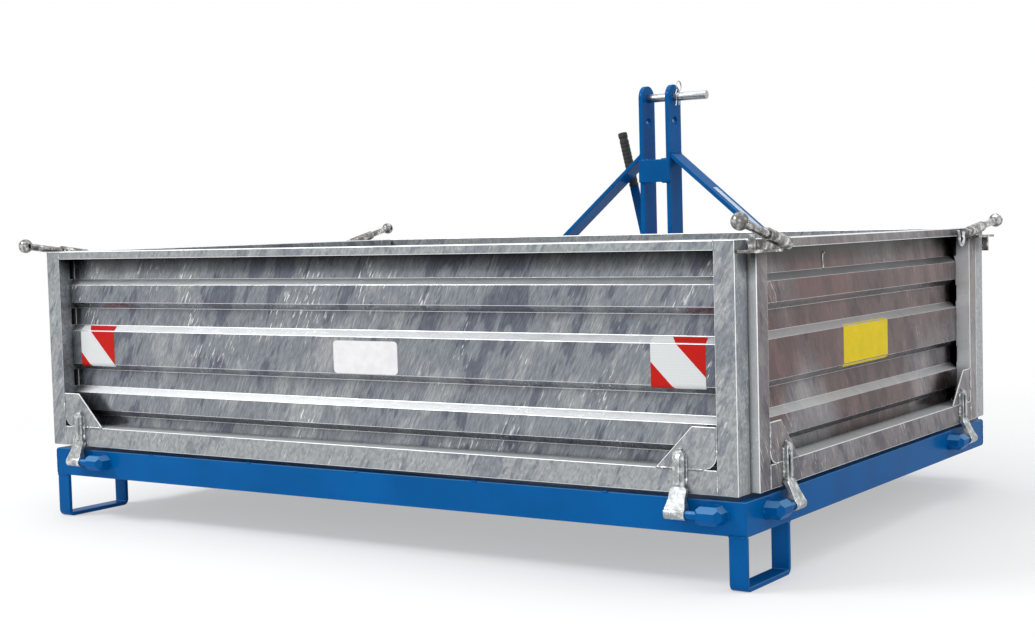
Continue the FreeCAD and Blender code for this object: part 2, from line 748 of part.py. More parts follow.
def side_pin(name, eye_station):
    """Return a right-hand hinge pin with its lug, behind the eye that it carries."""
    lug_start = eye_station - s.eye_width / 2 - s.lug_gap - s.lug_length
    out = half_width + s.hinge_out
    low = hinge_height - s.lug_height / 2
    side = plate(name + "SideView", "XZ_Plane", turned(lug_section()), s.lug_length,
                 (out, lug_start, hinge_height))
    front = plate(name + "FrontView", "YZ_Plane", lug_front(), s.hinge_out * 2,
                  (half_width, lug_start, hinge_height))
    corners = [(-inboard, along) for along, inboard in lug_plan()]
    plan = plate(name + "Plan", "XY_Plane", corners, s.lug_height, (out, lug_start, low))
    pin_start = lug_start + s.lug_length / 2
    pin_end = eye_station + s.eye_width / 2 + s.pin_tail
    pin = rod(name + "Pin", s.hinge_pin, pin_end - pin_start, (out, pin_start, hinge_height),
              ALONG_Y)
    return fuse(name, common(name + "Lug", side, front, plan), pin)


def rear_side():
    """Build the rear drop side."""
    half = side_outer - s.rear_step
    face = -s.side_out
    posts, rails, sheet = end_side("Rear", face, 1, half)
    across = -s.rear_slide
    node("rear_side_posts", *posts, across=across)
    node("rear_side_rails", *rails, across=across)
    node("rear_side_sheet", sheet, across=across)
    reach = half - s.post_width
    right = gusset("RearGusset", "XZ_Plane", gusset_corners(), (reach, face, side_bottom))
    node("rear_side_gussets", right, mirrored("RearGussetMirror", right), across=across)
    node("rear_side_straps", rear_strap("RearStrapLeft", -s.rear_hinge_left),
         rear_strap("RearStrapRight", s.rear_hinge_right))
    node("rear_hinge_pins", rear_pin("RearPinLeft", -s.rear_hinge_left),
         rear_pin("RearPinRight", s.rear_hinge_right))


def headboard():
    """Build the fixed front side and the peg that the catch holds."""
    face = s.box_depth + s.side_out
    posts, rails, sheet = end_side("Head", face, -1, side_outer - s.head_step)
    node("headboard_posts", *posts)
    node("headboard_rails", *rails)
    node("headboard_sheet", sheet)
    node("catch_peg", prism("Peg", SMALL_ROUND, s.peg_radius, s.peg_length,
                            (0, face, s.peg_height), ALONG_Y))


def side_gussets():
    """Return the gussets at the rear and front lower corners of the right side."""
    inner = side_outer - s.gusset_thick
    rear_at = side_start + s.side_post
    front_at = side_end - s.side_post
    rear_corners = [(-along, height) for along, height in gusset_corners()]
    rear = gusset("SideGussetRear", "YZ_Plane", rear_corners, (inner, rear_at, side_bottom))
    front = gusset("SideGussetFront", "YZ_Plane", gusset_corners(), (inner, front_at, side_bottom))
    return rear, front


def latch_axis(forward, rise):
    """Return where a latch rod starts, its run to the ball and its turn, at the rear or front.

    The raised lever at the front is slid inboard.
    """
    inner = s.latch_inner_front if forward else s.latch_inner
    reach = inner + s.latch_reach
    if forward and rise is s.latch_raised:
        reach = reach - s.latch_slide
    start = (half_width + s.latch_out, inner, side_top - s.latch_low)
    if forward:
        start = (start[0], s.box_depth - inner, start[2])
    angle = math.degrees(math.atan2(rise.value, reach.value))
    turn = FreeCAD.Rotation(V(1, 0, 0), -90 + angle if forward else 90 - angle)
    return start, reach, turn


def along_latch(start, reach, forward, rise, distance):
    """Return the point of a latch rod's axis at a horizontal distance from its inner end."""
    step = distance if forward else -distance
    return start[0], start[1] + step, start[2] + rise * distance / reach


def knob_profile():
    """Return half the section of a ball knob: (radius, height) from its centre."""
    latitudes = range(-90, 91, KNOB_STEP)
    angles = [math.radians(latitude) for latitude in latitudes]
    return [(s.ball_radius * round(math.cos(angle), 6), s.ball_radius * round(math.sin(angle), 6))
            for angle in angles]


def latch_lever(name, forward, rise):
    """Return a latch lever on one tilted axis: nut, rod and ball knob."""
    start, reach, turn = latch_axis(forward, rise)
    shank = rod(name + "Rod", s.latch_rod, root(reach * reach + rise * rise), start, turn)
    nut = prism(name + "Nut", 6, s.latch_rod + s.nut_step, s.latch_nut, start, turn)
    centre = along_latch(start, reach, forward, rise, reach)
    knob = lathed(name + "Knob", knob_profile(), centre, turn)
    return fuse(name, shank, nut, knob)


def latch_bracket(name, forward, rise):
    """Return a latch bracket: a shelf along the side, and a sleeve on its saddle.

    A bracket at the front carries a hanging tongue. A raised one at the rear has a long shelf
    that reaches in over the rear side's end, with a stop under the rod.
    """
    start, reach, turn = latch_axis(forward, rise)
    long = not forward and rise is s.latch_raised
    under = side_top - s.latch_drop
    top = under + s.latch_plate
    outer = half_width + s.shelf_edge
    grip = side_start + s.shelf_grip
    end = -s.shelf_reach if forward or long else side_start
    inner = side_outer - s.shelf_tuck if long else side_outer + s.shelf_clear

    def span(low, high):
        return (s.box_depth - high, s.box_depth - low) if forward else (low, high)

    outline = [(side_outer, grip), (outer, grip), (outer, end)]
    if forward or long:
        outline += [(inner, end), (inner, side_start)]
    outline.append((side_outer, side_start))
    if forward:
        outline = [(across, s.box_depth - along) for across, along in outline]
    shelf = plate(name + "Shelf", "XY_Plane", outline, s.latch_plate, (0, 0, under))
    sleeve_at = along_latch(start, reach, forward, rise, s.latch_nut + s.nut_gap)
    length = s.sleeve_front if forward else s.sleeve_length
    sleeve = rod(name + "Sleeve", s.sleeve_radius, length, sleeve_at, turn)
    low, high = span(side_start + s.saddle_step, grip - s.saddle_step)
    saddle = block(name + "Saddle", (side_outer, low, top), (start[0], high, side_top))
    shapes = [shelf, sleeve, saddle]
    if forward:
        low, high = span(end + s.tongue_in, end + s.tongue_in + s.tongue_thick)
        shapes.append(block(name + "Tongue", (inner, low, under - s.tongue_drop),
                            (inner + s.tongue_width, high, under)))
    if long:
        rest = s.latch_inner - s.stop_thick
        stop_top = along_latch(start, reach, forward, rise, rest)[2] - s.latch_rod - s.stop_gap
        middle = start[0] - s.stop_shift
        shapes.append(block(name + "Stop", (middle - s.stop_width / 2, s.stop_thick, top),
                            (middle + s.stop_width / 2, s.stop_thick * 2, stop_top)))
    bore = rod(name + "Bore", s.latch_rod + s.latch_play, reach, start, turn)
    return cut(name, fuse(name + "Blank", *shapes), bore)


def side_latches(side, rear_rise, front_rise):
    """Return brackets and levers at both corners of a side, drawn on the right of the box."""
    pieces = []
    for build_one, kind in ((latch_bracket, "LatchBracket"), (latch_lever, "LatchLever")):
        pieces.append([build_one(f"{side}{kind}Rear", False, rear_rise),
                       build_one(f"{side}{kind}Front", True, front_rise)])
    return pieces


def side_pair():
    """Build the right drop side, and the left one as its mirror image.

    Two latches at opposite corners are raised a little further than the others.
    """
    wall = s.side_wall
    low = side_start + s.side_post
    high = side_end - s.side_post
    crest = side_outer - s.rib_inset
    back = side_inner + wall
    tube_rear = tube("SidePostRearTube", (side_inner, side_start, side_bottom),
                     (side_outer, low, side_top), wall, "z", capped=True)
    tube_front = tube("SidePostFrontTube", (side_inner, high, side_bottom),
                      (side_outer, side_end, side_top), wall, "z", capped=True)
    slots_rear = valley_slots("SideSlotsRear", (back, low - wall), (crest, low))
    slots_front = valley_slots("SideSlotsFront", (back, high), (crest, high + wall))
    sill = tube("SideSill", (side_inner, low, side_bottom),
                (side_outer, high, side_bottom + s.sill_height), wall, "y")
    cap = tube("SideCap", (side_inner, low, side_top - s.cap_height),
               (side_outer, high, side_top), wall, "y")
    sheet = plate("SideSheet", "XZ_Plane", turned(rib_profile()), high - low,
                  (side_outer, low, side_bottom))
    eyes = (s.side_hinge_in, s.box_depth - s.side_hinge_in)
    groups = {
        "side_posts": [cut("SidePostRear", tube_rear, slots_rear),
                       cut("SidePostFront", tube_front, slots_front)],
        "side_rails": [sill, cap],
        "side_sheet": [sheet],
        "side_gussets": side_gussets(),
        "side_straps": [side_strap(f"SideStrap{index}", at) for index, at in enumerate(eyes)],
        "hinge_pins": [side_pin(f"SidePin{index}", at) for index, at in enumerate(eyes)],
    }
    for name, shapes in groups.items():
        node("right_" + name, *shapes)
        images = [mirrored(f"Left_{name}_{index}", shape) for index, shape in enumerate(shapes)]
        node("left_" + name, *images)
    right_latches = side_latches("Right", s.latch_raised, s.latch_lowered)
    left_latches = side_latches("Left", s.latch_lowered, s.latch_raised)
    for kind, right, left in zip(("brackets", "levers"), right_latches, left_latches):
        node(f"right_latch_{kind}", *right)
        images = [mirrored(f"{shape.Name}Mirror", shape) for shape in left]
        node(f"left_latch_{kind}", *images)


# ---------------------------------------------------------------- headstock

def headstock_beam():
    """Build the wide beam in front of the box and the two feet under it."""
    rear = s.beam_station
    front = rear + s.beam_depth
    reach = s.beam_half - s.beam_wall
    node("headstock_beam", tube("Beam", (-reach, rear, s.clear_under), (reach, front, frame_top),
                                s.beam_wall, "x"))
    cap = block("BeamCap", (reach, rear, s.clear_under), (s.beam_half, front, frame_top))
    node("beam_end_caps", cap, mirrored("BeamCapMirror", cap))
    right = foot_loop("FrontFootBar", s.beam_depth, (s.front_foot_out, rear, 0))
    node("front_feet", right, mirrored("FrontFootMirror", right))


def tipping_arms():
    """Build the arms that run back under the box, and the tipping shaft at their ends."""
    half = s.arm_half
    rear = s.tip_station
    front = s.beam_station + s.beam_depth
    start = s.arm_out - s.arm_thick / 2
    low = s.tip_height - half
    high = s.tip_height + half
    flat = half - s.nose_cut
    corners = [(rear - flat, low), (front, low), (front, s.clear_under),
               (s.beam_station, s.clear_under), (s.beam_station, high), (rear - flat, high),
               (rear - half, s.tip_height + flat), (rear - half, s.tip_height - flat)]
    bar = plate("ArmBar", "YZ_Plane", corners, s.arm_thick, (start, 0, 0))
    bore = rod("ArmBore", s.tip_radius, s.arm_thick, (start, rear, s.tip_height), ALONG_X)
    right = cut("Arm", bar, bore)
    node("tipping_arms", right, mirrored("ArmMirror", right))
    reach = s.arm_out + s.arm_thick / 2 + s.tip_lug_gap + s.tip_lug_thick + s.shaft_over
    node("tipping_shaft", rod("TipShaft", s.tip_radius, reach * 2, (-reach, rear, s.tip_height),
                              ALONG_X))


def mast():
    """Build the mast plates, their tie plate and the top-link pin with its clip."""
    inner = s.mast_gap / 2
    half = s.mast_width / 2
    centre = mast_station + half
    strip = block("MastStrip", (inner, mast_station, frame_top),
                  (mast_outer, mast_station + s.mast_width, s.top_pin_height))
    crown = rod("MastCrown", half, s.mast_thick, (inner, centre, s.top_pin_height), ALONG_X)
    hole = s.top_pin_radius + s.top_pin_play
    upper = rod("MastUpperHole", hole, s.mast_thick, (inner, centre, s.top_pin_height), ALONG_X)
    lower = rod("MastLowerHole", hole, s.mast_thick,
                (inner, centre, s.top_pin_height - s.top_hole_step), ALONG_X)
    right = cut("MastPlate", fuse("MastBlank", strip, crown), fuse("MastHoles", upper, lower))
    node("mast_plate_right", right)
    node("mast_plate_left", mirrored("MastMirror", right))
    tie = block("Tie", (-mast_outer, mast_station - s.tie_thick, s.tie_low),
                (mast_outer, mast_station, s.tie_low + s.tie_height))
    node("mast_tie_plate", tie)
    length = s.mast_gap + s.mast_thick * 2 + s.top_pin_head + s.top_pin_tail
    pin = rod("TopPin", s.top_pin_radius, length,
              (-mast_outer - s.top_pin_head, centre, s.top_pin_height), ALONG_X)
    clip_at = mast_outer + s.clip_out
    wire = s.clip_wire
    hole = prism("TopPinClipHole", SMALL_HOLE, wire + s.clip_play, s.top_pin_radius * 3,
                 (clip_at, centre, s.top_pin_height - s.top_pin_radius * 1.5))
    node("top_link_pin", cut("TopPinDrilled", pin, hole))
    low = s.top_pin_height - s.top_pin_radius * 2
    middle = s.top_pin_height + s.top_pin_radius + s.clip_ring + wire * 2
    leg = prism("ClipLeg", WIRE_ROUND, wire, middle - s.clip_ring - low, (clip_at, centre, low))
    half = wire + s.clip_flat
    rim = prism("ClipRim", CLIP_ROUND, s.clip_ring + wire, half * 2,
                (clip_at - half, centre, middle), ALONG_X)
    eye = prism("ClipEye", CLIP_ROUND, s.clip_ring - wire, half * 2,
                (clip_at - half, centre, middle), ALONG_X)
    node("top_link_clip", fuse("Clip", leg, cut("ClipLoop", rim, eye)))


def braces():
    """Build the flat braces from the mast down to the ends of the beam."""
    rise = s.brace_top - frame_top
    run = s.brace_foot - mast_outer
    upright = s.brace_thick * root(rise * rise + run * run) / run
    foot_run = upright * run / rise
    corners = [(mast_outer, s.brace_top), (mast_outer, s.brace_top - upright),
               (s.brace_foot - foot_run, frame_top), (s.brace_foot, frame_top)]
    depth = mast_station + (s.mast_width - s.brace_width) / 2
    right = plate("BraceBar", "XZ_Plane", corners, s.brace_width, (0, depth, 0))
    node("brace_right", right)
    node("brace_left", mirrored("BraceMirror", right))

    centre = s.link_spacing / 2
    low = centre - s.hitch_post_width / 2
    high = centre + s.hitch_post_width / 2
    wall = s.hitch_post_wall

    def under_brace(across):
        return s.brace_top - upright - (across - mast_outer) * rise / run

    outline = [(low, frame_top), (high, frame_top), (high, under_brace(high)),
               (low, under_brace(low))]
    hollow = [(low + wall, frame_top), (high - wall, frame_top),
              (high - wall, under_brace(high - wall)), (low + wall, under_brace(low + wall))]
    post_station = s.beam_station + s.post_back
    outer = plate("HitchPostOuter", "XZ_Plane", outline, s.hitch_post_depth, (0, post_station, 0))
    inner = plate("HitchPostInner", "XZ_Plane", hollow, s.hitch_post_depth - wall * 2,
                  (0, post_station + wall, 0))
    post = cut("HitchPost", outer, inner)
    node("hitch_posts", post, mirrored("HitchPostMirror", post))


def lower_hitch():
    """Build the ears of the two lower hitch points, and the studs that carry the link balls."""
    shoulder = s.link_spacing / 2 - s.link_ball / 2
    link_reach = s.link_station - s.beam_station - s.post_back - s.hitch_post_depth
    nose = s.ear_nose
    flat = nose - s.ear_cut
    corners = [(-link_reach, -s.ear_half), (flat, -nose), (nose, -flat), (nose, flat),
               (flat, nose), (-link_reach, s.ear_half)]
    ear = plate("Ear", "YZ_Plane", corners, s.ear_thick,
                (shoulder - s.ear_thick, s.link_station, link_height))
    node("lower_hitch_ears", ear, mirrored("EarMirror", ear))
    shank = rod("StudShank", s.link_pin_radius, s.stud_length,
                (shoulder, s.link_station, link_height), ALONG_X)
    hole = prism("StudHole", SMALL_HOLE, s.stud_hole, s.link_pin_radius * 3,
               (shoulder + s.link_ball + s.stud_hole_step, s.link_station,
                link_height - s.link_pin_radius * 1.5))
    stud = cut("Stud", shank, hole)
    node("lower_hitch_studs", stud, mirrored("StudMirror", stud))


def release_gear():
    """Build the release lever with its grip, the bearing in the mast and the catch hook."""
    height = s.lever_pivot
    bearing_rear = mast_station + s.bearing_back
    bearing_front = mast_station + s.mast_width - s.bearing_step
    inner = s.mast_gap / 2
    housing = block("Bearing", (-inner, bearing_rear, height - s.bearing_half),
                    (inner, bearing_front, height + s.bearing_half))
    bore = prism("BearingBore", SMALL_ROUND, s.lever_shaft + s.lever_play,
                 bearing_front - bearing_rear, (0, bearing_rear, height), ALONG_Y)
    node("release_bearing", cut("BearingBlock", housing, bore))

    lever_station = mast_station + s.mast_width + s.lever_off
    half = s.lever_width / 2
    lean = FreeCAD.Rotation(V(0, 1, 0), -s.lever_lean.value)
    bar = plate("LeverBar", "XZ_Plane",
                [(-half, 0), (half, 0), (half, s.lever_length), (-half, s.lever_length)],
                s.lever_thick, (0, lever_station, height))
    place(bar, (0, lever_station, height), lean)
    boss = prism("LeverBoss", SMALL_ROUND, s.hub_radius, s.lever_thick,
                 (0, lever_station, height), ALONG_Y)
    shaft_rear = s.catch_station + s.catch_thick
    shaft = rod("LeverShaft", s.lever_shaft, lever_station + s.lever_thick - shaft_rear,
                (0, shaft_rear, height), ALONG_Y)
    node("release_lever", fuse("Lever", bar, boss, shaft))

    sine = math.sin(math.radians(s.lever_lean.value))
    cosine = math.cos(math.radians(s.lever_lean.value))
    grip_at = (-s.lever_length * sine, lever_station + s.lever_thick / 2,
               height + s.lever_length * cosine)
    node("release_grip", prism("Grip", SMALL_ROUND, s.grip_radius, s.grip_length, grip_at, lean))

    reach = s.peg_height - height
    jaw = s.peg_radius + s.hook_play
    neck = -s.hook_neck
    lip = s.hook_lip
    swing = FreeCAD.Rotation(V(0, 1, 0), -s.catch_swing.value)
    arm = [(neck, 0), (neck - jaw / 2, reach + jaw), (s.peg_radius / 2, reach + jaw),
           (s.peg_radius / 2, reach - jaw), (lip, reach - jaw), (lip, reach + jaw),
           (-neck, 0)]
    hook = plate("HookPlate", "XZ_Plane", arm, s.catch_thick, (0, s.catch_station, height))
    place(hook, (0, s.catch_station, height), swing)
    hub = prism("HookHub", SMALL_ROUND, s.hub_radius, s.catch_thick,
                (0, s.catch_station, height), ALONG_Y)
    node("catch_hook", fuse("Hook", hook, hub))


def build():
    """Build every sub-part."""
    base_frame()
    rear_feet()
    tipping_lugs()
    rear_side()
    headboard()
    side_pair()
    headstock_beam()
    tipping_arms()
    mast()
    braces()
    lower_hitch()
    release_gear()
    doc.recompute()


def check():
    """Stop on any failed object, and on any sub-part with a null or invalid shape."""
    for obj in doc.Objects:
        if "Invalid" in obj.State or "Error" in obj.State:
            raise RuntimeError(f"{obj.Name}: {obj.State}")
    for group in nodes:
        if group.Shape.isNull() or not group.Shape.isValid():
            raise RuntimeError(f"{group.Label}: bad shape")


def export():
    """Write each sub-part to its own file."""
    os.makedirs("parts", exist_ok=True)
    for group in nodes:
        group.Shape.exportStep(f"parts/{group.Label}.step")
        solids = len(group.Shape.Solids)
        print(f"{group.Label}: {solids} solids, {group.Shape.Volume / 1000:.0f} cm3")


build()
check()
export()
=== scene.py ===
"""Dress a tractor transport box: hot-dip zinc, blue enamel, welds, stickers, latches and grip.

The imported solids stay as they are. This file gives them their finishes and adds the small pieces
that a maker welds, sticks or clips on. Places are named by station: millimetres to the right of
the centre line, forward from the rear face of the base frame, and above the ground.
"""

import logging
import math
from dataclasses import dataclass, field
from enum import Enum
from typing import Iterable, Sequence

import bmesh
import bpy
from mathutils import Matrix, Vector


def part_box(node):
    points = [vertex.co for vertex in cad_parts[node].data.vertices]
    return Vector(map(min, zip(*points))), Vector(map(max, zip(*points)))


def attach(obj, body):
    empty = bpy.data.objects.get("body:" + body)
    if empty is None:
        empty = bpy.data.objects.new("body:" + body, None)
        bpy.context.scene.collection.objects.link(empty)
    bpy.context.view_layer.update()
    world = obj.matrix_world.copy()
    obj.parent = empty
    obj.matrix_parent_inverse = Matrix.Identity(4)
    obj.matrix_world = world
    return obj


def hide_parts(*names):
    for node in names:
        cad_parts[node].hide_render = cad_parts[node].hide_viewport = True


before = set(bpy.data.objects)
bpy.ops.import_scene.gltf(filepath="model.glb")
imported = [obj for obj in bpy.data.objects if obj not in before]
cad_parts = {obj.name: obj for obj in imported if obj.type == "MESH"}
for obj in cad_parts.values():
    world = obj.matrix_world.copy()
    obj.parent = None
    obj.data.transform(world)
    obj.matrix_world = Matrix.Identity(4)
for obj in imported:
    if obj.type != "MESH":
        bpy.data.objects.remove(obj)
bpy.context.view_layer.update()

logging.basicConfig(level=logging.INFO, format="%(message)s")
LOG = logging.getLogger("transport_box")

Tree = bpy.types.NodeTree
Socket = bpy.types.NodeSocket

MM = 0.001
REAR_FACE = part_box("frame_end_rails")[0].y


def station(x: float, along: float, z: float) -> Vector:
    """Return the point, in metres, at a place given in millimetres.

    Args:
        x: Distance to the right of the centre line.
        along: Distance forward from the rear face of the base frame.
        z: Height above the ground.

    Returns:
        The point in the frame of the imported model.
    """
    return Vector((x * MM, REAR_FACE + along * MM, z * MM))


# ---------------------------------------------------------------- colours and shader nodes

class Tone(Enum):
    """Colours of the finishes, as sRGB hex values."""

    ZINC_DARK = "#686C77"
    ZINC_MID = "#858A90"
    ZINC_PALE = "#9B9FA1"
    ZINC_BRIGHT = "#F2F4F4"
    # Painted reflection of brown surroundings on the long sides.
    ZINC_WARM = "#A0726C"
    FORGED = "#A3A7A8"
    FORGED_DARK = "#85888A"
    LATCH = "#7E7C7A"
    LATCH_DARK = "#4E4A49"
    PLATED = "#B4B7B9"
    ENAMEL = "#005A9C"
    ENAMEL_DEEP = "#005290"
    ENAMEL_GLINT = "#7DB2DC"
    RUBBER = "#1B1C1E"
    RUBBER_DEEP = "#131516"
    SIGNAL_RED = "#BC1E18"
    SIGNAL_WHITE = "#D5D7D7"
    VINYL_WHITE = "#E8E6E7"
    VINYL_YELLOW = "#E6CB08"
    DECAL_PALE = "#BFD2E6"
    FLOOR = "#F4F4F4"
    WHITE = "#FFFFFF"


# The Mix node has sockets for every type of data. These are the numbers of its colour ones.
SHARE, UNDER, OVER = 0, 6, 7
MIXED = 2

MIX = {"data_type": "RGBA", "blend_type": "MIX"}
OVERLAY = {"data_type": "RGBA", "blend_type": "OVERLAY"}
MULTIPLY = {"data_type": "RGBA", "blend_type": "MULTIPLY"}


def linear(tone: Tone) -> tuple[float, float, float, float]:
    """Return a tone as linear RGBA.

    Args:
        tone: The colour to convert from sRGB.

    Returns:
        Four numbers from 0 to 1.
    """
    digits = tone.value.lstrip("#")
    channels = []
    for start in (0, 2, 4):
        value = int(digits[start:start + 2], 16) / 255
        low = value <= 0.04045
        channels.append(value / 12.92 if low else ((value + 0.055) / 1.055) ** 2.4)
    return (*channels, 1.0)


def grey(value: float) -> tuple[float, float, float, float]:
    """Return an even linear grey for a ramp."""
    return (value, value, value, 1.0)


def add_node(tree: Tree, kind: str, settings: dict | None = None,
             links: dict | None = None) -> bpy.types.Node:
    """Add one shader node with its settings and links.

    Args:
        tree: The node tree of a material or world.
        kind: The node's type name after "ShaderNode".
        settings: Properties by name, values of sockets by name or number, and under "stops" a
            colour ramp's positions and colours in rising order.
        links: What feeds this node's inputs, by name or number: an output socket, or a node
            for its first output.

    Returns:
        The new node.
    """
    node = tree.nodes.new("ShaderNode" + kind)
    for key, value in (settings or {}).items():
        if key == "stops":
            elements = node.color_ramp.elements
            while len(elements) < len(value):
                elements.new(0.5)
            for element, (position, colour) in zip(elements, value):
                element.position = position
                element.color = colour
        elif isinstance(key, str) and key not in node.inputs:
            setattr(node, key, value)
        else:
            node.inputs[key].default_value = value
    for key, source in (links or {}).items():
        if isinstance(source, bpy.types.Node):
            source = source.outputs[0]
        tree.links.new(source, node.inputs[key])
    return node


def new_material(name: str) -> tuple[bpy.types.Material, Tree]:
    """Return a new material with an empty node tree.

    Args:
        name: What the finish is, in a maker's words.

    Returns:
        The material and its tree.
    """
    material = bpy.data.materials.new(name)
    material.use_nodes = True
    material.node_tree.nodes.clear()
    return material, material.node_tree


# ---------------------------------------------------------------- finishes

@dataclass(frozen=True)
class HotDipZinc:
    """Hot-dip galvanised steel, dipped hanging at an angle and left to drain.

    The bath leaves leaning fields of several greys where the zinc froze at different speeds, a
    brushed grain along the same lean, bright scrapes across it and a soft, uneven shine. Sizes
    in millimetres are the widths of one feature of each kind.
    """

    name: str
    lean: tuple[float, float, float] = (0.45, 0.0, 0.89)
    dark: Tone = Tone.ZINC_DARK
    mid: Tone = Tone.ZINC_MID
    pale: Tone = Tone.ZINC_PALE
    field_mm: float = 52.0
    edge_mm: float = 7.0
    cloud_mm: float = 380.0
    grain_mm: float = 3.6
    flake_mm: float = 6.5
    scrape_mm: float = 5.0
    patch_mm: float = 130.0
    cast_mm: float = 280.0
    lump_mm: float = 14.0
    nook_mm: float = 60.0
    brushed: float = 0.5
    spangle: float = 0.0
    scrapes: float = 0.85
    brown_reflection: float = 0.0
    ledge: float = 0.55
    bends: float = 0.9
    ends: float = 0.0
    corner: float = 0.42
    roughness: float = 0.27
    spread: float = 0.1
    metallic: float = 0.86
    ribbed: bool = True

    def drawn_out(self, tree: Tree, across_mm: float, stretch: float) -> Socket:
        """Return object coordinates scaled to a feature's size and drawn out along the lean.

        Args:
            tree: The tree to add to.
            across_mm: Width of one feature.
            stretch: How much longer a feature is than wide.

        Returns:
            The vector output.
        """
        turn = Vector((0, 0, 1)).rotation_difference(Vector(self.lean)).inverted().to_euler()
        source = add_node(tree, "TexCoord").outputs["Object"]
        turned = add_node(tree, "Mapping", {"Rotation": turn}, {"Vector": source})
        size = 1 / (across_mm * MM)
        scaled = add_node(tree, "Mapping", {"Scale": (size, size, size / stretch)},
                          {"Vector": turned})
        return scaled.outputs[0]

    def fields(self, tree: Tree) -> tuple[Socket, Socket]:
        """Lay the leaning fields of one grey each, with streaky borders.

        Args:
            tree: The tree to add to.

        Returns:
            The colour, and the level from 0 to 1 that it follows.
        """
        broad = add_node(tree, "TexNoise", {"Scale": 1.0, "Detail": 2.0},
                         {"Vector": self.drawn_out(tree, self.field_mm, stretch=2.4)})
        ragged = add_node(tree, "TexNoise", {"Scale": 1.0, "Detail": 3.0, "Roughness": 0.65},
                          {"Vector": self.drawn_out(tree, self.edge_mm, stretch=9.0)})
        clouds = add_node(tree, "TexNoise", {"Scale": 1.0, "Detail": 1.0},
                          {"Vector": self.drawn_out(tree, self.cloud_mm, stretch=1.2)})
        joined = add_node(tree, "Math", {"operation": "MULTIPLY_ADD", 1: 0.42},
                          {0: ragged, 2: broad})
        summed = add_node(tree, "Math", {"operation": "MULTIPLY_ADD", 1: 0.6},
                          {0: clouds, 2: joined})
        # The two finer noises add 0.51 on average, which comes off again.
        level = add_node(tree, "Math", {"operation": "SUBTRACT", 1: 0.51}, {0: summed})
        colour = add_node(tree, "ValToRGB", {"stops": (
            (0.34, linear(self.pale)), (0.42, linear(self.mid)), (0.58, linear(self.mid)),
            (0.62, linear(self.dark)), (0.72, linear(self.dark)))}, {"Fac": level})
        return colour.outputs["Color"], level.outputs[0]

    def strokes(self, tree: Tree, colour: Socket) -> Socket:
        """Add the brushed grain, and crystals on thicker steel.

        Args:
            tree: The tree to add to.
            colour: The colour so far.

        Returns:
            The colour with both.
        """
        # Grain: drained zinc looks brushed, in strokes a few millimetres wide.
        fine = add_node(tree, "TexNoise", {"Scale": 1.0, "Detail": 2.0, "Roughness": 0.6},
                        {"Vector": self.drawn_out(tree, self.grain_mm, stretch=6.5)})
        grain = add_node(tree, "ValToRGB", {"stops": ((0.30, grey(0.22)), (0.70, grey(0.78)))},
                         {"Fac": fine})
        colour = add_node(tree, "Mix", {**OVERLAY, SHARE: self.brushed},
                          {UNDER: colour, OVER: grain}).outputs[MIXED]
        if self.spangle:
            # Spangle: thicker steel cools slowly, and its zinc sets in visible crystals.
            flakes = add_node(tree, "TexVoronoi", {"Scale": 1.0, "Randomness": 1.0},
                              {"Vector": self.drawn_out(tree, self.flake_mm, stretch=1.3)})
            tones = add_node(tree, "ValToRGB",
                             {"stops": ((0.0, grey(0.38)), (1.0, grey(0.64)))},
                             {"Fac": flakes.outputs["Color"]})
            colour = add_node(tree, "Mix", {**OVERLAY, SHARE: self.spangle},
                              {UNDER: colour, OVER: tones}).outputs[MIXED]
        return colour

    def scraped(self, tree: Tree, colour: Socket) -> tuple[Socket, Socket]:
        """Add bright flecks in patches, where the hot piece was wiped and knocked.

        Args:
            tree: The tree to add to.
            colour: The colour so far.

        Returns:
            The colour with the flecks, and how strong they are.
        """
        spots = add_node(tree, "TexNoise", {"Scale": 1.0, "Detail": 3.0},
                         {"Vector": self.drawn_out(tree, self.scrape_mm, stretch=6.5)})
        flecks = add_node(tree, "ValToRGB", {"stops": ((0.60, grey(0)), (0.68, grey(1)))},
                          {"Fac": spots})
        broad = add_node(tree, "TexNoise", {"Scale": 1.0, "Detail": 2.0},
                         {"Vector": self.drawn_out(tree, self.patch_mm, stretch=1.3)})
        patches = add_node(tree, "ValToRGB",
                           {"stops": ((0.53, grey(0)), (0.62, grey(self.scrapes)))},
                           {"Fac": broad})
        share = add_node(tree, "Math", {"operation": "MULTIPLY"}, {0: flecks, 1: patches})
        colour = add_node(tree, "Mix", {**MIX, OVER: linear(Tone.ZINC_BRIGHT)},
                          {SHARE: share, UNDER: colour}).outputs[MIXED]
        return colour, share.outputs[0]

    def painted_brown_reflection(self, tree: Tree, facing: Socket, colour: Socket) -> Socket:
        """Paint a brown reflection in broad clouds on the outer faces of the long sides.

        Args:
            tree: The tree to add to.
            facing: The way the surface faces, in object space.
            colour: The colour so far.

        Returns:
            The colour with the cast.
        """
        # Painted reflection: brown surroundings mirrored in the outward faces of the long sides.
        clouds = add_node(tree, "TexNoise", {"Scale": 1.0, "Detail": 0.0},
                          {"Vector": self.drawn_out(tree, self.cast_mm, stretch=1.2)})
        cast = add_node(tree, "ValToRGB",
                        {"stops": ((0.40, grey(0.45)), (0.56, grey(self.brown_reflection)))},
                        {"Fac": clouds})
        place = add_node(tree, "TexCoord").outputs["Object"]
        across = add_node(tree, "SeparateXYZ", links={0: place}).outputs["X"]
        turned = add_node(tree, "SeparateXYZ", links={0: facing}).outputs["X"]
        outer = add_node(tree, "Math", {"operation": "MULTIPLY", "use_clamp": True},
                         {0: across, 1: turned})
        share = add_node(tree, "Math", {"operation": "MULTIPLY"}, {0: cast, 1: outer})
        return add_node(tree, "Mix", {**MULTIPLY, OVER: linear(Tone.ZINC_WARM)},
                        {SHARE: share, UNDER: colour}).outputs[MIXED]

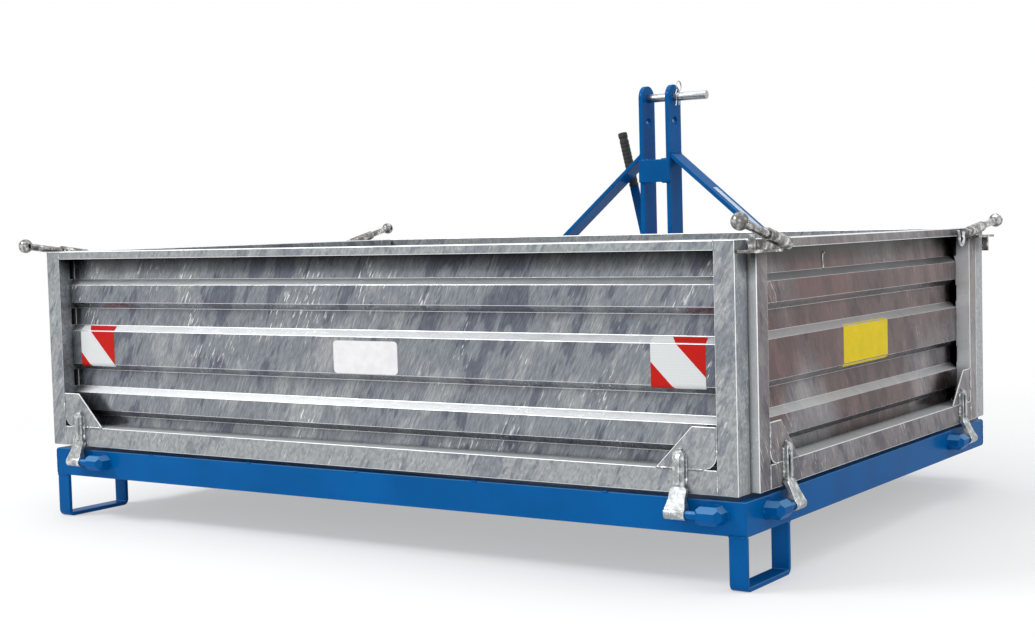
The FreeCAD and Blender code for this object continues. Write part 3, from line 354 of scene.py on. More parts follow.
    def painted_highlights(self, tree: Tree, facing: Socket, colour: Socket) -> tuple[Socket, Socket]:
        """Paint highlights on ledges, bends and ends.

        Args:
            tree: The tree to add to.
            facing: The way the surface faces, in object space.
            colour: The colour so far.

        Returns:
            The lighter colour, and how much of a ledge each place is.
        """
        # Ledges: the bath runs together on faces that look up and sets there rough; these faces
        # also get a painted highlight, as if lit from above.
        upward = add_node(tree, "SeparateXYZ", links={0: facing}).outputs["Z"]
        ledges = add_node(tree, "ValToRGB",
                          {"stops": ((0.1, grey(0)), (0.6, grey(self.ledge)))},
                          {"Fac": upward})
        # Bends: a painted highlight runs as a bright line along every fold and edge. A rib's
        # flanks
        # lean less than a folded edge does, so ribbed sheets go by the height of the slope.
        slope = add_node(tree, "VectorMath", {"operation": "ABSOLUTE"}, {0: facing})
        sides = add_node(tree, "SeparateXYZ", links={0: slope})
        if self.ribbed:
            steepness = sides.outputs["Z"]
            edges = (0.1, 0.22, 0.61, 0.667)
        else:
            wider = add_node(tree, "Math", {"operation": "MAXIMUM"},
                             {0: sides.outputs["X"], 1: sides.outputs["Y"]})
            steepness = add_node(tree, "Math", {"operation": "MAXIMUM"},
                                 {0: wider, 1: sides.outputs["Z"]})
            edges = (0.745, 0.79, 0.975, 0.995)
        shares = (0, self.bends, self.bends, 0)
        bend_highlight = add_node(tree, "ValToRGB",
                         {"stops": tuple((edge, grey(share))
                                         for edge, share in zip(edges, shares))},
                         {"Fac": steepness})
        bright = add_node(tree, "Math", {"operation": "MAXIMUM"}, {0: ledges, 1: bend_highlight})
        if self.ends:
            # Ends: the faces across the long sides get a painted highlight.
            end_highlight = add_node(tree, "ValToRGB",
                               {"stops": ((0.6, grey(0)), (0.9, grey(self.ends)))},
                               {"Fac": sides.outputs["Y"]})
            bright = add_node(tree, "Math", {"operation": "MAXIMUM"}, {0: bright, 1: end_highlight})
        colour = add_node(tree, "Mix", {**MIX, OVER: linear(Tone.ZINC_BRIGHT)},
                          {SHARE: bright, UNDER: colour}).outputs[MIXED]
        return colour, ledges.outputs["Color"]

    def painted_shade(self, tree: Tree, colour: Socket) -> Socket:
        """Paint shade on zinc under a rail, inside a post or in a corner.

        Args:
            tree: The tree to add to.
            colour: The colour so far.

        Returns:
            The colour, darker where little of the sky above is open.
        """
        # Painted shade: occlusion aimed between the face and straight up darkens the colour where
        # the sky above is hidden.
        above = add_node(tree, "VectorTransform", {"convert_from": "OBJECT",
                                                   "convert_to": "WORLD", 0: (0.0, 0.0, 1.0)})
        outward = add_node(tree, "NewGeometry").outputs["Normal"]
        open_way = add_node(tree, "VectorMath", {"operation": "ADD"}, {0: above, 1: outward})
        aim = add_node(tree, "VectorMath", {"operation": "NORMALIZE"}, {0: open_way})
        nook = add_node(tree, "AmbientOcclusion", {"samples": 8, "Distance": self.nook_mm * MM},
                        {"Normal": aim})
        shade = add_node(tree, "ValToRGB", {"stops": (
            (0.14, grey(0.02)), (0.46, grey(self.corner)), (0.64, grey(1.0)))},
            {"Fac": nook.outputs["AO"]})
        return add_node(tree, "Mix", {**MULTIPLY, SHARE: 1.0},
                        {UNDER: colour, OVER: shade}).outputs[MIXED]

    def build(self) -> bpy.types.Material:
        """Build the material from the bath's marks in the order in which they form, then paint a
        brown reflection, highlights and shade over them.

        Returns:
            A metal whose colour, shine and relief follow the leaning fields.
        """
        material, tree = new_material(self.name)
        facing = add_node(tree, "TexCoord").outputs["Normal"]
        colour, level = self.fields(tree)
        colour = self.strokes(tree, colour)
        colour, flecks = self.scraped(tree, colour)
        # Painted light: a brown reflection on the long sides, highlights on ledges, bends and
        # ends, and shade in recesses.
        if self.brown_reflection:
            colour = self.painted_brown_reflection(tree, facing, colour)
        colour, ledges = self.painted_highlights(tree, facing, colour)
        colour = self.painted_shade(tree, colour)
        # Shine: each field has its own, and the thick zinc on ledges is duller.
        shine = add_node(tree, "MapRange", {"From Min": 0.36, "From Max": 0.64,
                                            "To Min": self.roughness - self.spread / 2,
                                            "To Max": self.roughness + self.spread / 2},
                         {"Value": level})
        rougher = add_node(tree, "Math", {"operation": "MULTIPLY_ADD", 1: 0.3},
                           {0: ledges, 2: shine})
        # Relief: shallow lumps of set zinc, with the flecks standing a little proud.
        lumps = add_node(tree, "TexNoise", {"Scale": 1.0, "Detail": 4.0, "Roughness": 0.62},
                         {"Vector": self.drawn_out(tree, self.lump_mm, stretch=2.4)})
        relief = add_node(tree, "Bump", {"Strength": 0.22, "Distance": 0.0012},
                          {"Height": lumps})
        drips = add_node(tree, "Bump", {"Strength": 0.3, "Distance": 0.0006},
                         {"Height": flecks, "Normal": relief})
        shader = add_node(tree, "BsdfPrincipled", {"Metallic": self.metallic},
                          {"Base Color": colour, "Roughness": rougher, "Normal": drips})
        add_node(tree, "OutputMaterial", links={"Surface": shader})
        return material


@dataclass(frozen=True)
class GlossEnamel:
    """Machinery enamel over primed steel: deep even blue, a wet shine and a faint orange peel."""

    name: str = "blue_machinery_enamel"
    base: Tone = Tone.ENAMEL
    deep: Tone = Tone.ENAMEL_DEEP
    cloud_mm: float = 166.67
    peel_mm: float = 5.0
    glint: float = 0.0

    def build(self) -> bpy.types.Material:
        """Build the material.

        Returns:
            A coated paint whose depth and shine vary slowly.
        """
        material, tree = new_material(self.name)
        source = add_node(tree, "TexCoord").outputs["Object"]
        # Film: the coat is a little thicker and deeper in slow, hand-sized clouds.
        clouds = add_node(tree, "TexNoise", {"Scale": 1 / (self.cloud_mm * MM), "Detail": 3.0},
                          {"Vector": source})
        colour = add_node(tree, "ValToRGB", {"stops": ((0.35, linear(self.deep)),
                                                       (0.62, linear(self.base)))},
                          {"Fac": clouds})
        # Glints: rounded edges and facets that look obliquely up get a painted highlight along
        # their length.
        facing = add_node(tree, "TexCoord").outputs["Normal"]
        upward = add_node(tree, "SeparateXYZ", links={0: facing}).outputs["Z"]
        oblique = add_node(tree, "ValToRGB", {"stops": (
            (0.25, grey(0)), (0.5, grey(self.glint)), (0.9, grey(self.glint)), (0.98, grey(0)))},
            {"Fac": upward})
        colour = add_node(tree, "Mix", {**MIX, OVER: linear(Tone.ENAMEL_GLINT)},
                          {SHARE: oblique, UNDER: colour}).outputs[MIXED]
        # Peel: sprayed enamel dries in fine dimples, which soften its reflections.
        shine = add_node(tree, "MapRange", {"From Min": 0.3, "From Max": 0.7,
                                            "To Min": 0.3, "To Max": 0.42},
                         {"Value": clouds})
        peel = add_node(tree, "TexNoise", {"Scale": 1 / (self.peel_mm * MM), "Detail": 2.0},
                        {"Vector": source})
        relief = add_node(tree, "Bump", {"Strength": 0.16, "Distance": 0.0004},
                          {"Height": peel})
        shader = add_node(tree, "BsdfPrincipled",
                          {"Specular IOR Level": 0.02, "Coat Weight": 0.1,
                           "Coat Roughness": 0.1},
                          {"Base Color": colour, "Roughness": shine, "Normal": relief})
        add_node(tree, "OutputMaterial", links={"Surface": shader})
        return material


@dataclass(frozen=True)
class ForgedZinc:
    """Small forgings from the same bath: paler and brighter, with soft lumps and dark pits."""

    name: str = "forged_hot_dip_zinc"
    base: Tone = Tone.FORGED
    dark: Tone = Tone.FORGED_DARK
    lump_mm: float = 12.0
    roughness: float = 0.3
    relief: float = 0.3

    def build(self) -> bpy.types.Material:
        """Build the material.

        Returns:
            A metal that is darker and duller in its hollows.
        """
        material, tree = new_material(self.name)
        source = add_node(tree, "TexCoord").outputs["Object"]
        # Lumps: thick zinc sets in soft lumps, and the colour follows their height, darker in the
        # pits and near white on top.
        lumps = add_node(tree, "TexNoise", {"Scale": 1 / (self.lump_mm * MM), "Detail": 5.0,
                                            "Roughness": 0.6}, {"Vector": source})
        colour = add_node(tree, "ValToRGB", {"stops": (
            (0.30, linear(self.dark)), (0.50, linear(self.base)),
            (0.72, linear(Tone.ZINC_BRIGHT)))}, {"Fac": lumps})
        shine = add_node(tree, "MapRange", {"From Min": 0.3, "From Max": 0.7,
                                            "To Min": self.roughness + 0.1,
                                            "To Max": self.roughness - 0.06},
                         {"Value": lumps})
        relief = add_node(tree, "Bump", {"Strength": self.relief, "Distance": 0.0008},
                          {"Height": lumps})
        shader = add_node(tree, "BsdfPrincipled", {"Metallic": 0.9},
                          {"Base Color": colour, "Roughness": shine, "Normal": relief})
        add_node(tree, "OutputMaterial", links={"Surface": shader})
        return material


@dataclass(frozen=True)
class BrightPlate:
    """Bright zinc plate on turned or drawn steel: smooth, with fine rings from the tool."""

    name: str = "bright_zinc_plate"
    tone: Tone = Tone.PLATED
    ring_mm: float = 3.0303
    smear_mm: float = 83.33

    def build(self) -> bpy.types.Material:
        """Build the material.

        Returns:
            A smooth metal with faint rings across the pin's length.
        """
        material, tree = new_material(self.name)
        source = add_node(tree, "TexCoord").outputs["Object"]
        # Rings: turning marks run round the pin, drawn at 3 mm because 0.2 mm would not show.
        fine, slow = 1 / (self.ring_mm * MM), 1 / (self.smear_mm * MM)
        rings = add_node(tree, "Mapping", {"Scale": (fine, slow, slow)}, {"Vector": source})
        marks = add_node(tree, "TexNoise", {"Scale": 1.0, "Detail": 3.0}, {"Vector": rings})
        colour = add_node(tree, "ValToRGB", {"stops": ((0.3, linear(Tone.FORGED)),
                                                       (0.7, linear(self.tone)))},
                          {"Fac": marks})
        relief = add_node(tree, "Bump", {"Strength": 0.12, "Distance": 0.0003},
                          {"Height": marks})
        shader = add_node(tree, "BsdfPrincipled", {"Metallic": 1.0, "Roughness": 0.34},
                          {"Base Color": colour, "Normal": relief})
        add_node(tree, "OutputMaterial", links={"Surface": shader})
        return material


@dataclass(frozen=True)
class MouldedRubber:
    """Moulded black rubber: dull, slightly dusty, with a fine sandblasted grain."""

    name: str = "moulded_black_rubber"
    grain_mm: float = 1.6
    dust_mm: float = 45.45

    def build(self) -> bpy.types.Material:
        """Build the material.

        Returns:
            A dull black with a fine grain.
        """
        material, tree = new_material(self.name)
        source = add_node(tree, "TexCoord").outputs["Object"]
        # Dust: hands leave it a little paler in patches.
        dust = add_node(tree, "TexNoise", {"Scale": 1 / (self.dust_mm * MM), "Detail": 4.0},
                        {"Vector": source})
        colour = add_node(tree, "ValToRGB", {"stops": ((0.4, linear(Tone.RUBBER_DEEP)),
                                                       (0.75, linear(Tone.RUBBER)))},
                          {"Fac": dust})
        grain = add_node(tree, "TexNoise", {"Scale": 1 / (self.grain_mm * MM), "Detail": 2.0},
                         {"Vector": source})
        relief = add_node(tree, "Bump", {"Strength": 0.4, "Distance": 0.0005},
                          {"Height": grain})
        shader = add_node(tree, "BsdfPrincipled", {"Roughness": 0.58},
                          {"Base Color": colour, "Normal": relief})
        add_node(tree, "OutputMaterial", links={"Surface": shader})
        return material


@dataclass(frozen=True)
class Vinyl:
    """Printed film with a clear laminate: flat colour, slight waves where it follows the metal."""

    name: str
    tone: Tone
    roughness: float = 0.42
    wave_mm: float = 22.22

    def build(self) -> bpy.types.Material:
        """Build the material.

        Returns:
            A flat print that shades slightly over its waves.
        """
        material, tree = new_material(self.name)
        source = add_node(tree, "TexCoord").outputs["Object"]
        # Waves: the film bridges the zinc's lumps and lies a little uneven.
        waves = add_node(tree, "TexNoise", {"Scale": 1 / (self.wave_mm * MM), "Detail": 3.0},
                         {"Vector": source})
        shade = add_node(tree, "ValToRGB", {"stops": ((0.3, grey(0.9)), (0.7, grey(1.0)))},
                         {"Fac": waves})
        colour = add_node(tree, "Mix", {**MULTIPLY, SHARE: 1.0, UNDER: linear(self.tone)},
                          {OVER: shade}).outputs[MIXED]
        relief = add_node(tree, "Bump", {"Strength": 0.12, "Distance": 0.0006},
                          {"Height": waves})
        shader = add_node(tree, "BsdfPrincipled", {"Roughness": self.roughness,
                                                   "Specular IOR Level": 0.08},
                          {"Base Color": colour, "Normal": relief})
        add_node(tree, "OutputMaterial", links={"Surface": shader})
        return material


@dataclass(frozen=True)
class ReflectiveSheeting:
    """Retroreflective marking film: red and white bands over a cell pattern under clear resin.

    The bands run at 45 degrees. Their borders are given as the sum of the two distances from
    the film's lower left corner, in widths of the film.
    """

    name: str
    band_low: float
    band_high: float
    width_mm: float = 126.0
    cell_mm: float = 5.727

    def build(self) -> bpy.types.Material:
        """Build the material.

        Returns:
            A film whose bands follow the piece's own UV map, counted in widths of the film.
        """
        material, tree = new_material(self.name)
        face = add_node(tree, "UVMap", {"uv_map": "film"}).outputs["UV"]
        parts = add_node(tree, "SeparateXYZ", links={0: face})
        diagonal = add_node(tree, "Math", {"operation": "ADD"},
                            {0: parts.outputs["X"], 1: parts.outputs["Y"]})
        above = add_node(tree, "Math", {"operation": "GREATER_THAN", 1: self.band_low},
                         {0: diagonal})
        below = add_node(tree, "Math", {"operation": "LESS_THAN", 1: self.band_high},
                         {0: diagonal})
        white = add_node(tree, "Math", {"operation": "MULTIPLY"}, {0: above, 1: below})
        band = add_node(tree, "Mix", {**MIX, UNDER: linear(Tone.SIGNAL_RED),
                                      OVER: linear(Tone.SIGNAL_WHITE)},
                        {SHARE: white}).outputs[MIXED]
        # Cells: the resin is sealed to the film in a fine honeycomb of slightly darker lines.
        cells = add_node(tree, "TexVoronoi", {"feature": "DISTANCE_TO_EDGE",
                                              "Scale": self.width_mm / self.cell_mm,
                                              "Randomness": 0.12}, {"Vector": face})
        lines = add_node(tree, "ValToRGB", {"stops": ((0.0, grey(0.86)), (0.08, grey(1.0)))},
                         {"Fac": cells.outputs["Distance"]})
        colour = add_node(tree, "Mix", {**MULTIPLY, SHARE: 1.0},
                          {UNDER: band, OVER: lines}).outputs[MIXED]
        relief = add_node(tree, "Bump", {"Strength": 0.1, "Distance": 0.0002},
                          {"Height": cells.outputs["Distance"]})
        shader = add_node(tree, "BsdfPrincipled", {"Roughness": 0.38,
                                                   "Specular IOR Level": 0.08},
                          {"Base Color": colour, "Normal": relief})
        add_node(tree, "OutputMaterial", links={"Surface": shader})
        return material


class Finish(Enum):
    """The finishes by name, each built once."""

    SHEET = HotDipZinc("galvanised_ribbed_sheet")
    # The long sides' sheets carry a painted brown reflection of the surroundings.
    SIDE_SHEET = HotDipZinc("galvanised_ribbed_sheet_brown_reflection", lean=(0.0, -0.45, 0.89), brown_reflection=1.0,
                            ledge=0.4, bends=0.5)
    POST = HotDipZinc("galvanised_folded_post", dark=Tone.ZINC_MID, mid=Tone.ZINC_PALE,
                      field_mm=34.0, scrapes=0.4, brushed=0.3, spangle=0.8, roughness=0.42,
                      corner=0.6, ribbed=False)
    # Their posts carry a weaker painted brown reflection and a painted highlight on the faces
    # across the side.
    SIDE_POST = HotDipZinc("galvanised_folded_post_brown_reflection", lean=(0.0, -0.45, 0.89),
                           brown_reflection=0.6, scrapes=0.9, spangle=0.5, roughness=0.38,
                           corner=0.8, ribbed=False, metallic=0.5, ends=0.65)
    FLOOR_SHEET = HotDipZinc("galvanised_floor_sheet", lean=(0.3, 0.95, 0.1), field_mm=160.0,
                             ledge=0.1)
    ENAMEL = GlossEnamel()
    FRAME_ENAMEL = GlossEnamel("blue_machinery_enamel_frame", glint=0.4)
    FORGED = ForgedZinc()
    LATCH = ForgedZinc("forged_latch_zinc", base=Tone.LATCH, dark=Tone.LATCH_DARK, lump_mm=16.0,
                       roughness=0.22, relief=0.12)
    PLATED = BrightPlate()
    RUBBER = MouldedRubber()
    FILM_RIGHT = ReflectiveSheeting("retroreflective_marking_film_right", 0.425, 1.19)
    FILM_LEFT = ReflectiveSheeting("retroreflective_marking_film_left", 0.29, 1.04)
    STICKER_WHITE = Vinyl("white_vinyl_sticker", Tone.VINYL_WHITE)
    STICKER_YELLOW = Vinyl("yellow_vinyl_sticker", Tone.VINYL_YELLOW)
    DECAL = Vinyl("pale_vinyl_decal", Tone.DECAL_PALE)

    def material(self) -> bpy.types.Material:
        """Return this finish's material, building it on first use."""
        found = bpy.data.materials.get(self.value.name)
        return found or self.value.build()


# ---------------------------------------------------------------- building and dressing

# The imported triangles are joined, flat faces are made whole again, and sharper edges softened.
MERGE_WITHIN = 0.00002
FLAT_WITHIN = math.radians(0.5)
SOFTEN_ABOVE = math.radians(38)


class Body(Enum):
    """The bodies that pieces ride on."""

    BOX = "box"
    HEADSTOCK = "headstock"
    REAR = "rear_side"
    RIGHT = "right_side"
    LEFT = "left_side"


class Slot(Enum):
    """The record's material slots."""

    BLUE = "blue_enamel"
    ZINC = "galvanised_steel"
    FORGED = "forged_galvanised_steel"
    PLATED = "zinc_plated_steel"
    RUBBER = "black_rubber"


def hand_over(name: str, shape: bmesh.types.BMesh, finish: Finish,
              body: Body, smooth_below: float = 40.0) -> bpy.types.Object:
    """Turn a finished bmesh into a piece that rides on a body.

    Args:
        name: The piece's name.
        shape: Its mesh in metres, which is freed.
        finish: What it is finished in.
        body: The body it moves with.
        smooth_below: Edges flatter than this many degrees are shaded smooth.

    Returns:
        The new object, at the origin and unturned.
    """
    bmesh.ops.recalc_face_normals(shape, faces=shape.faces)
    limit = math.radians(smooth_below)
    for face in shape.faces:
        face.smooth = True
    for edge in shape.edges:
        edge.smooth = len(edge.link_faces) == 2 and edge.calc_face_angle(0.0) < limit
    mesh = bpy.data.meshes.new(name)
    shape.to_mesh(mesh)
    shape.free()
    mesh.materials.append(finish.material())
    piece = bpy.data.objects.new(name, mesh)
    bpy.context.scene.collection.objects.link(piece)
    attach(piece, body.value)
    LOG.info("%s: %d faces on %s", name, len(mesh.polygons), body.value)
    return piece


def dress(nodes: Iterable[str], finish: Finish, edge_mm: float, segments: int = 2) -> None:
    """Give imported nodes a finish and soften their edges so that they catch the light.

    Args:
        nodes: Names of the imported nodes.
        finish: Their finish.
        edge_mm: Width of the softened edge, or 0 for none.
        segments: How many steps round the edge.
    """
    for name in nodes:
        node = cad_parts[name]
        for slot in node.material_slots:
            slot.material = finish.material()
        if edge_mm:
            merge = node.modifiers.new("joined", "WELD")
            merge.merge_threshold = MERGE_WITHIN
            flat = node.modifiers.new("flats", "DECIMATE")
            flat.decimate_type = "DISSOLVE"
            flat.angle_limit = FLAT_WITHIN
            soft = node.modifiers.new("worn_edges", "BEVEL")
            soft.width = edge_mm * MM
            soft.segments = segments
            soft.limit_method = "ANGLE"
            soft.angle_limit = SOFTEN_ABOVE
            soft.harden_normals = False
        LOG.info("%s: %s", name, finish.value.name)


@dataclass(frozen=True)
class Sweep:
    """A round bar or bead drawn along a path by extruding one ring again and again."""

    sides: int = 8

    def run(self, shape: bmesh.types.BMesh, points: Sequence[Vector],
            radii: Sequence[float]) -> None:
        """Add one bar to a bmesh.

        Args:
            shape: The bmesh to add to.
            points: The path, in metres.
            radii: The bar's radius at each point, in metres.
        """
        ways = [points[1] - points[0]]
        ways += [after - before for before, after in zip(points, points[2:])]
        ways.append(points[-1] - points[-2])
        turn = Vector((0, 0, 1)).rotation_difference(ways[0])
        first = Matrix.Translation(points[0]) @ turn.to_matrix().to_4x4()
        ring = bmesh.ops.create_circle(shape, cap_ends=True, segments=self.sides,
                                       radius=radii[0], matrix=first)
        cap = ring["verts"][0].link_faces[0]
        for index in range(1, len(points)):
            swing = ways[index - 1].rotation_difference(ways[index])
            size = radii[index] / radii[index - 1]
            grown = bmesh.ops.extrude_face_region(shape, geom=[cap])
            cap = next(item for item in grown["geom"] if isinstance(item, bmesh.types.BMFace))
            for vert in cap.verts:
                vert.co = points[index] + swing @ (vert.co - points[index - 1]) * size

    def turned(self, shape: bmesh.types.BMesh, start: Vector, way: Vector,
               profile: Sequence[tuple[float, float]]) -> None:
        """Add a straight turned piece to a bmesh.

        Args:
            shape: The bmesh to add to.
            start: Where its axis starts, in metres.
            way: The axis's direction, of length 1.
            profile: Distances along the axis and radii there, in millimetres.
        """
        self.run(shape, [start + way * place * MM for place, _ in profile],
                 [radius * MM for _, radius in profile])


def arc(centre: Vector, first: Vector, second: Vector, low: float, high: float,
        count: int) -> list[Vector]:
    """Return points on an arc.

    Args:
        centre: The arc's centre.
        first: From the centre to the point at 0 degrees.
        second: From the centre to the point at 90 degrees.
        low: The angle it starts at, in degrees.
        high: The angle it ends at, in degrees.
        count: How many points.

    Returns:
        The points in order.
    """
    angles = [math.radians(low + (high - low) * index / (count - 1)) for index in range(count)]
    return [centre + first * math.cos(angle) + second * math.sin(angle) for angle in angles]


# ---------------------------------------------------------------- welds

@dataclass(frozen=True)
class Bead:
    """One hand-laid weld bead between two places given in millimetres.

    Two waves along the bead, a quick one and a slow one, make its ripples uneven.
    """

    start: tuple[float, float, float]
    end: tuple[float, float, float]
    size: float = 3.2
    ripple: float = 3.6
    mean: float = 0.9
    quick_wave: float = 2.3
    quick_swell: float = 0.14
    slow_wave: float = 0.9
    slow_swell: float = 0.1
    start_taper: float = 0.55
    end_taper: float = 0.6
    least_rings: int = 4
    sides: int = 6

    def lay(self, shape: bmesh.types.BMesh, seed: float) -> None:
        """Add the bead to a bmesh.

        Args:
            shape: The bmesh to add to.
            seed: A number that makes this bead's ripples its own.
        """
        first, last = station(*self.start), station(*self.end)
        rings = round((last - first).length / (self.ripple * MM)) + 1
        count = max(self.least_rings, rings)
        points = [first.lerp(last, index / (count - 1)) for index in range(count)]
        radii = []
        for index in range(count):
            quick = math.sin(index * self.quick_wave + seed) * self.quick_swell
            slow = math.sin(index * self.slow_wave + seed * 3) * self.slow_swell
            radii.append(self.size * MM * (self.mean + (quick + slow)))
        radii[0] *= self.start_taper
        radii[-1] *= self.end_taper
        Sweep(self.sides).run(shape, points, radii)


@dataclass
class WeldSet:
    """All beads of one sub-assembly, as one piece."""

    name: str
    body: Body
    finish: Finish
    slot: Slot
    beads: list[Bead] = field(default_factory=list)
    seed_step: float = 1.7

    def build(self) -> bpy.types.Object:
        """Lay every bead in turn.

        Returns:
            The piece that holds the beads.
        """
        shape = bmesh.new()
        for index, bead in enumerate(self.beads):
            bead.lay(shape, index * self.seed_step)
        return hand_over(self.name, shape, self.finish, self.body,
                         smooth_below=70.0)


@dataclass
class PanelWelds:
    """Weld lines of one drop side, given in the side's own plane.

    Runs along the side and heights are in millimetres. "straps" are the middles of the straps
    along the side, and "post" is how wide its posts are.
    """

    name: str
    body: Body
    face: float
    along_x: bool
    low_end: float
    high_end: float
    post: float
    straps: tuple[float, ...]
    sill_low: float = 190.0
    sill_high: float = 240.0
    cap_low: float = 675.0
    cap_high: float = 695.0
    gusset_top: float = 326.5
    gusset_foot: float = 138.0
    relief: float = 30.0
    sill_gap: float = 3.0
    strap_low: float = 207.0
    strap_high: float = 268.0
    strap_half: float = 14.0
    toe: float = 280.0
    toe_half: float = 6.0
    proud: float = 0.5
    cap_bead: float = 1.6
    sill_bead: float = 1.8
    gusset_bead: float = 2.6
    strap_bead: float = 2.8

    def point(self, run: float, z: float, out: float = 0.0) -> tuple[float, float, float]:
        """Return a place on the side's outer face.

        Args:
            run: Position along the side.
            z: Height above the ground.
            out: How far it stands off the face.

        Returns:
            The place in millimetres.
        """
        if self.along_x:
            return run, self.face - out, z
        step = out if self.face > 0 else -out
        return self.face + step, run, z

    def end_beads(self, end: float, inward: int) -> list[Bead]:
        """Return the beads where the rails and the gusset meet one post.

        Args:
            end: Where the post's inner edge is along the side.
            inward: 1 if the side's middle is further along, else -1.

        Returns:
            The beads.
        """
        foot = end + inward * self.gusset_foot
        return [Bead(self.point(end, self.cap_low), self.point(end, self.cap_high),
                     self.cap_bead),
                Bead(self.point(end, self.sill_low + self.sill_gap),
                     self.point(end, self.sill_high), self.sill_bead),
                Bead(self.point(end, self.sill_high + self.relief),
                     self.point(end, self.gusset_top), self.gusset_bead),
                Bead(self.point(end + inward * self.relief, self.sill_high),
                     self.point(foot, self.sill_high), self.gusset_bead)]

    def strap_beads(self, centre: float) -> list[Bead]:
        """Return the beads down both edges and across the top of one strap.

        Args:
            centre: The strap's middle along the side.

        Returns:
            The beads.
        """
        beads = []
        for edge in (-self.strap_half, self.strap_half):
            beads.append(Bead(self.point(centre + edge, self.strap_low, self.proud),
                              self.point(centre + edge, self.strap_high, self.proud),
                              self.strap_bead))
        beads.append(Bead(self.point(centre - self.toe_half, self.toe, self.proud),
                          self.point(centre + self.toe_half, self.toe, self.proud),
                          self.gusset_bead))
        return beads

    def build(self) -> bpy.types.Object:
        """Gather the side's beads.

        Returns:
            Them all as one piece.
        """
        beads = self.end_beads(self.low_end + self.post, 1)
        beads += self.end_beads(self.high_end - self.post, -1)
        for centre in self.straps:
            beads += self.strap_beads(centre)
        return WeldSet(self.name, self.body, Finish.FORGED, Slot.ZINC, beads).build()


@dataclass
class FrameWelds:
    """Welds of the blue frame: hinge lugs, feet and mitred corners."""

    half: float = 1000.0
    depth: float = 1440.0
    rail: float = 40.0
    rail_low: float = 110.0
    rail_high: float = 180.0
    pin: float = 152.0
    rear_lugs: tuple[float, ...] = (-858.0, 900.0)
    side_lugs: tuple[float, ...] = (78.0, 1158.0)
    lug: float = 60.0
    lug_half: float = 19.0
    facet: float = 12.0
    tacks: tuple[float, ...] = (-650.0, -318.0, 14.0, 346.0, 678.0)
    tack_half: float = 7.0
    foot_edges: tuple[float, ...] = (0.0, 205.0)
    mitre_gap: float = 3.0
    bead: float = 3.4
    tack_bead: float = 2.8
    mitre_bead: float = 1.7

    def lug_beads(self, start: float, on_rear: bool, side: int = 1) -> list[Bead]:
        """Return the four beads round the foot of a hinge lug.

        Args:
            start: Where the lug starts along the rail.
            on_rear: Whether it is on the rear rail.
            side: 1 for the right-hand rail and -1 for the left.

        Returns:
            The beads.
        """
        near, far = start + self.facet, start + self.lug - self.facet
        low, high = self.pin - self.lug_half, self.pin + self.lug_half
        inner_low, inner_high = low + self.facet, high - self.facet
        lines = [((near, low), (far, low)), ((near, high), (far, high)),
                 ((start, inner_low), (start, inner_high)),
                 ((start + self.lug, inner_low), (start + self.lug, inner_high))]
        if on_rear:
            return [Bead((one[0], 0, one[1]), (two[0], 0, two[1]), self.bead)
                    for one, two in lines]
        edge = self.half * side
        return [Bead((edge, *one), (edge, *two), self.bead) for one, two in lines]

    def build(self) -> bpy.types.Object:
        """Gather the frame's beads.

        Returns:
            Them all as one piece.
        """
        beads = []
        for start in self.rear_lugs:
            beads += self.lug_beads(start, True)
        for middle in self.tacks:
            beads.append(Bead((middle - self.tack_half, 0, self.rail_high),
                              (middle + self.tack_half, 0, self.rail_high), self.tack_bead))
        for side in (1, -1):
            for start in self.side_lugs:
                beads += self.lug_beads(start, False, side)
            edge, inner = side * self.half, side * (self.half - self.rail)
            for near in self.foot_edges:
                beads.append(Bead((inner, near, self.rail_low), (edge, near, self.rail_low),
                                  self.bead))
            for end in (0.0, self.depth):
                beads.append(Bead((edge, end, self.rail_low + self.mitre_gap),
                                  (edge, end, self.rail_high - self.mitre_gap),
                                  self.mitre_bead))
        return WeldSet("frame_weld_beads", Body.BOX, Finish.ENAMEL, Slot.BLUE, beads).build()


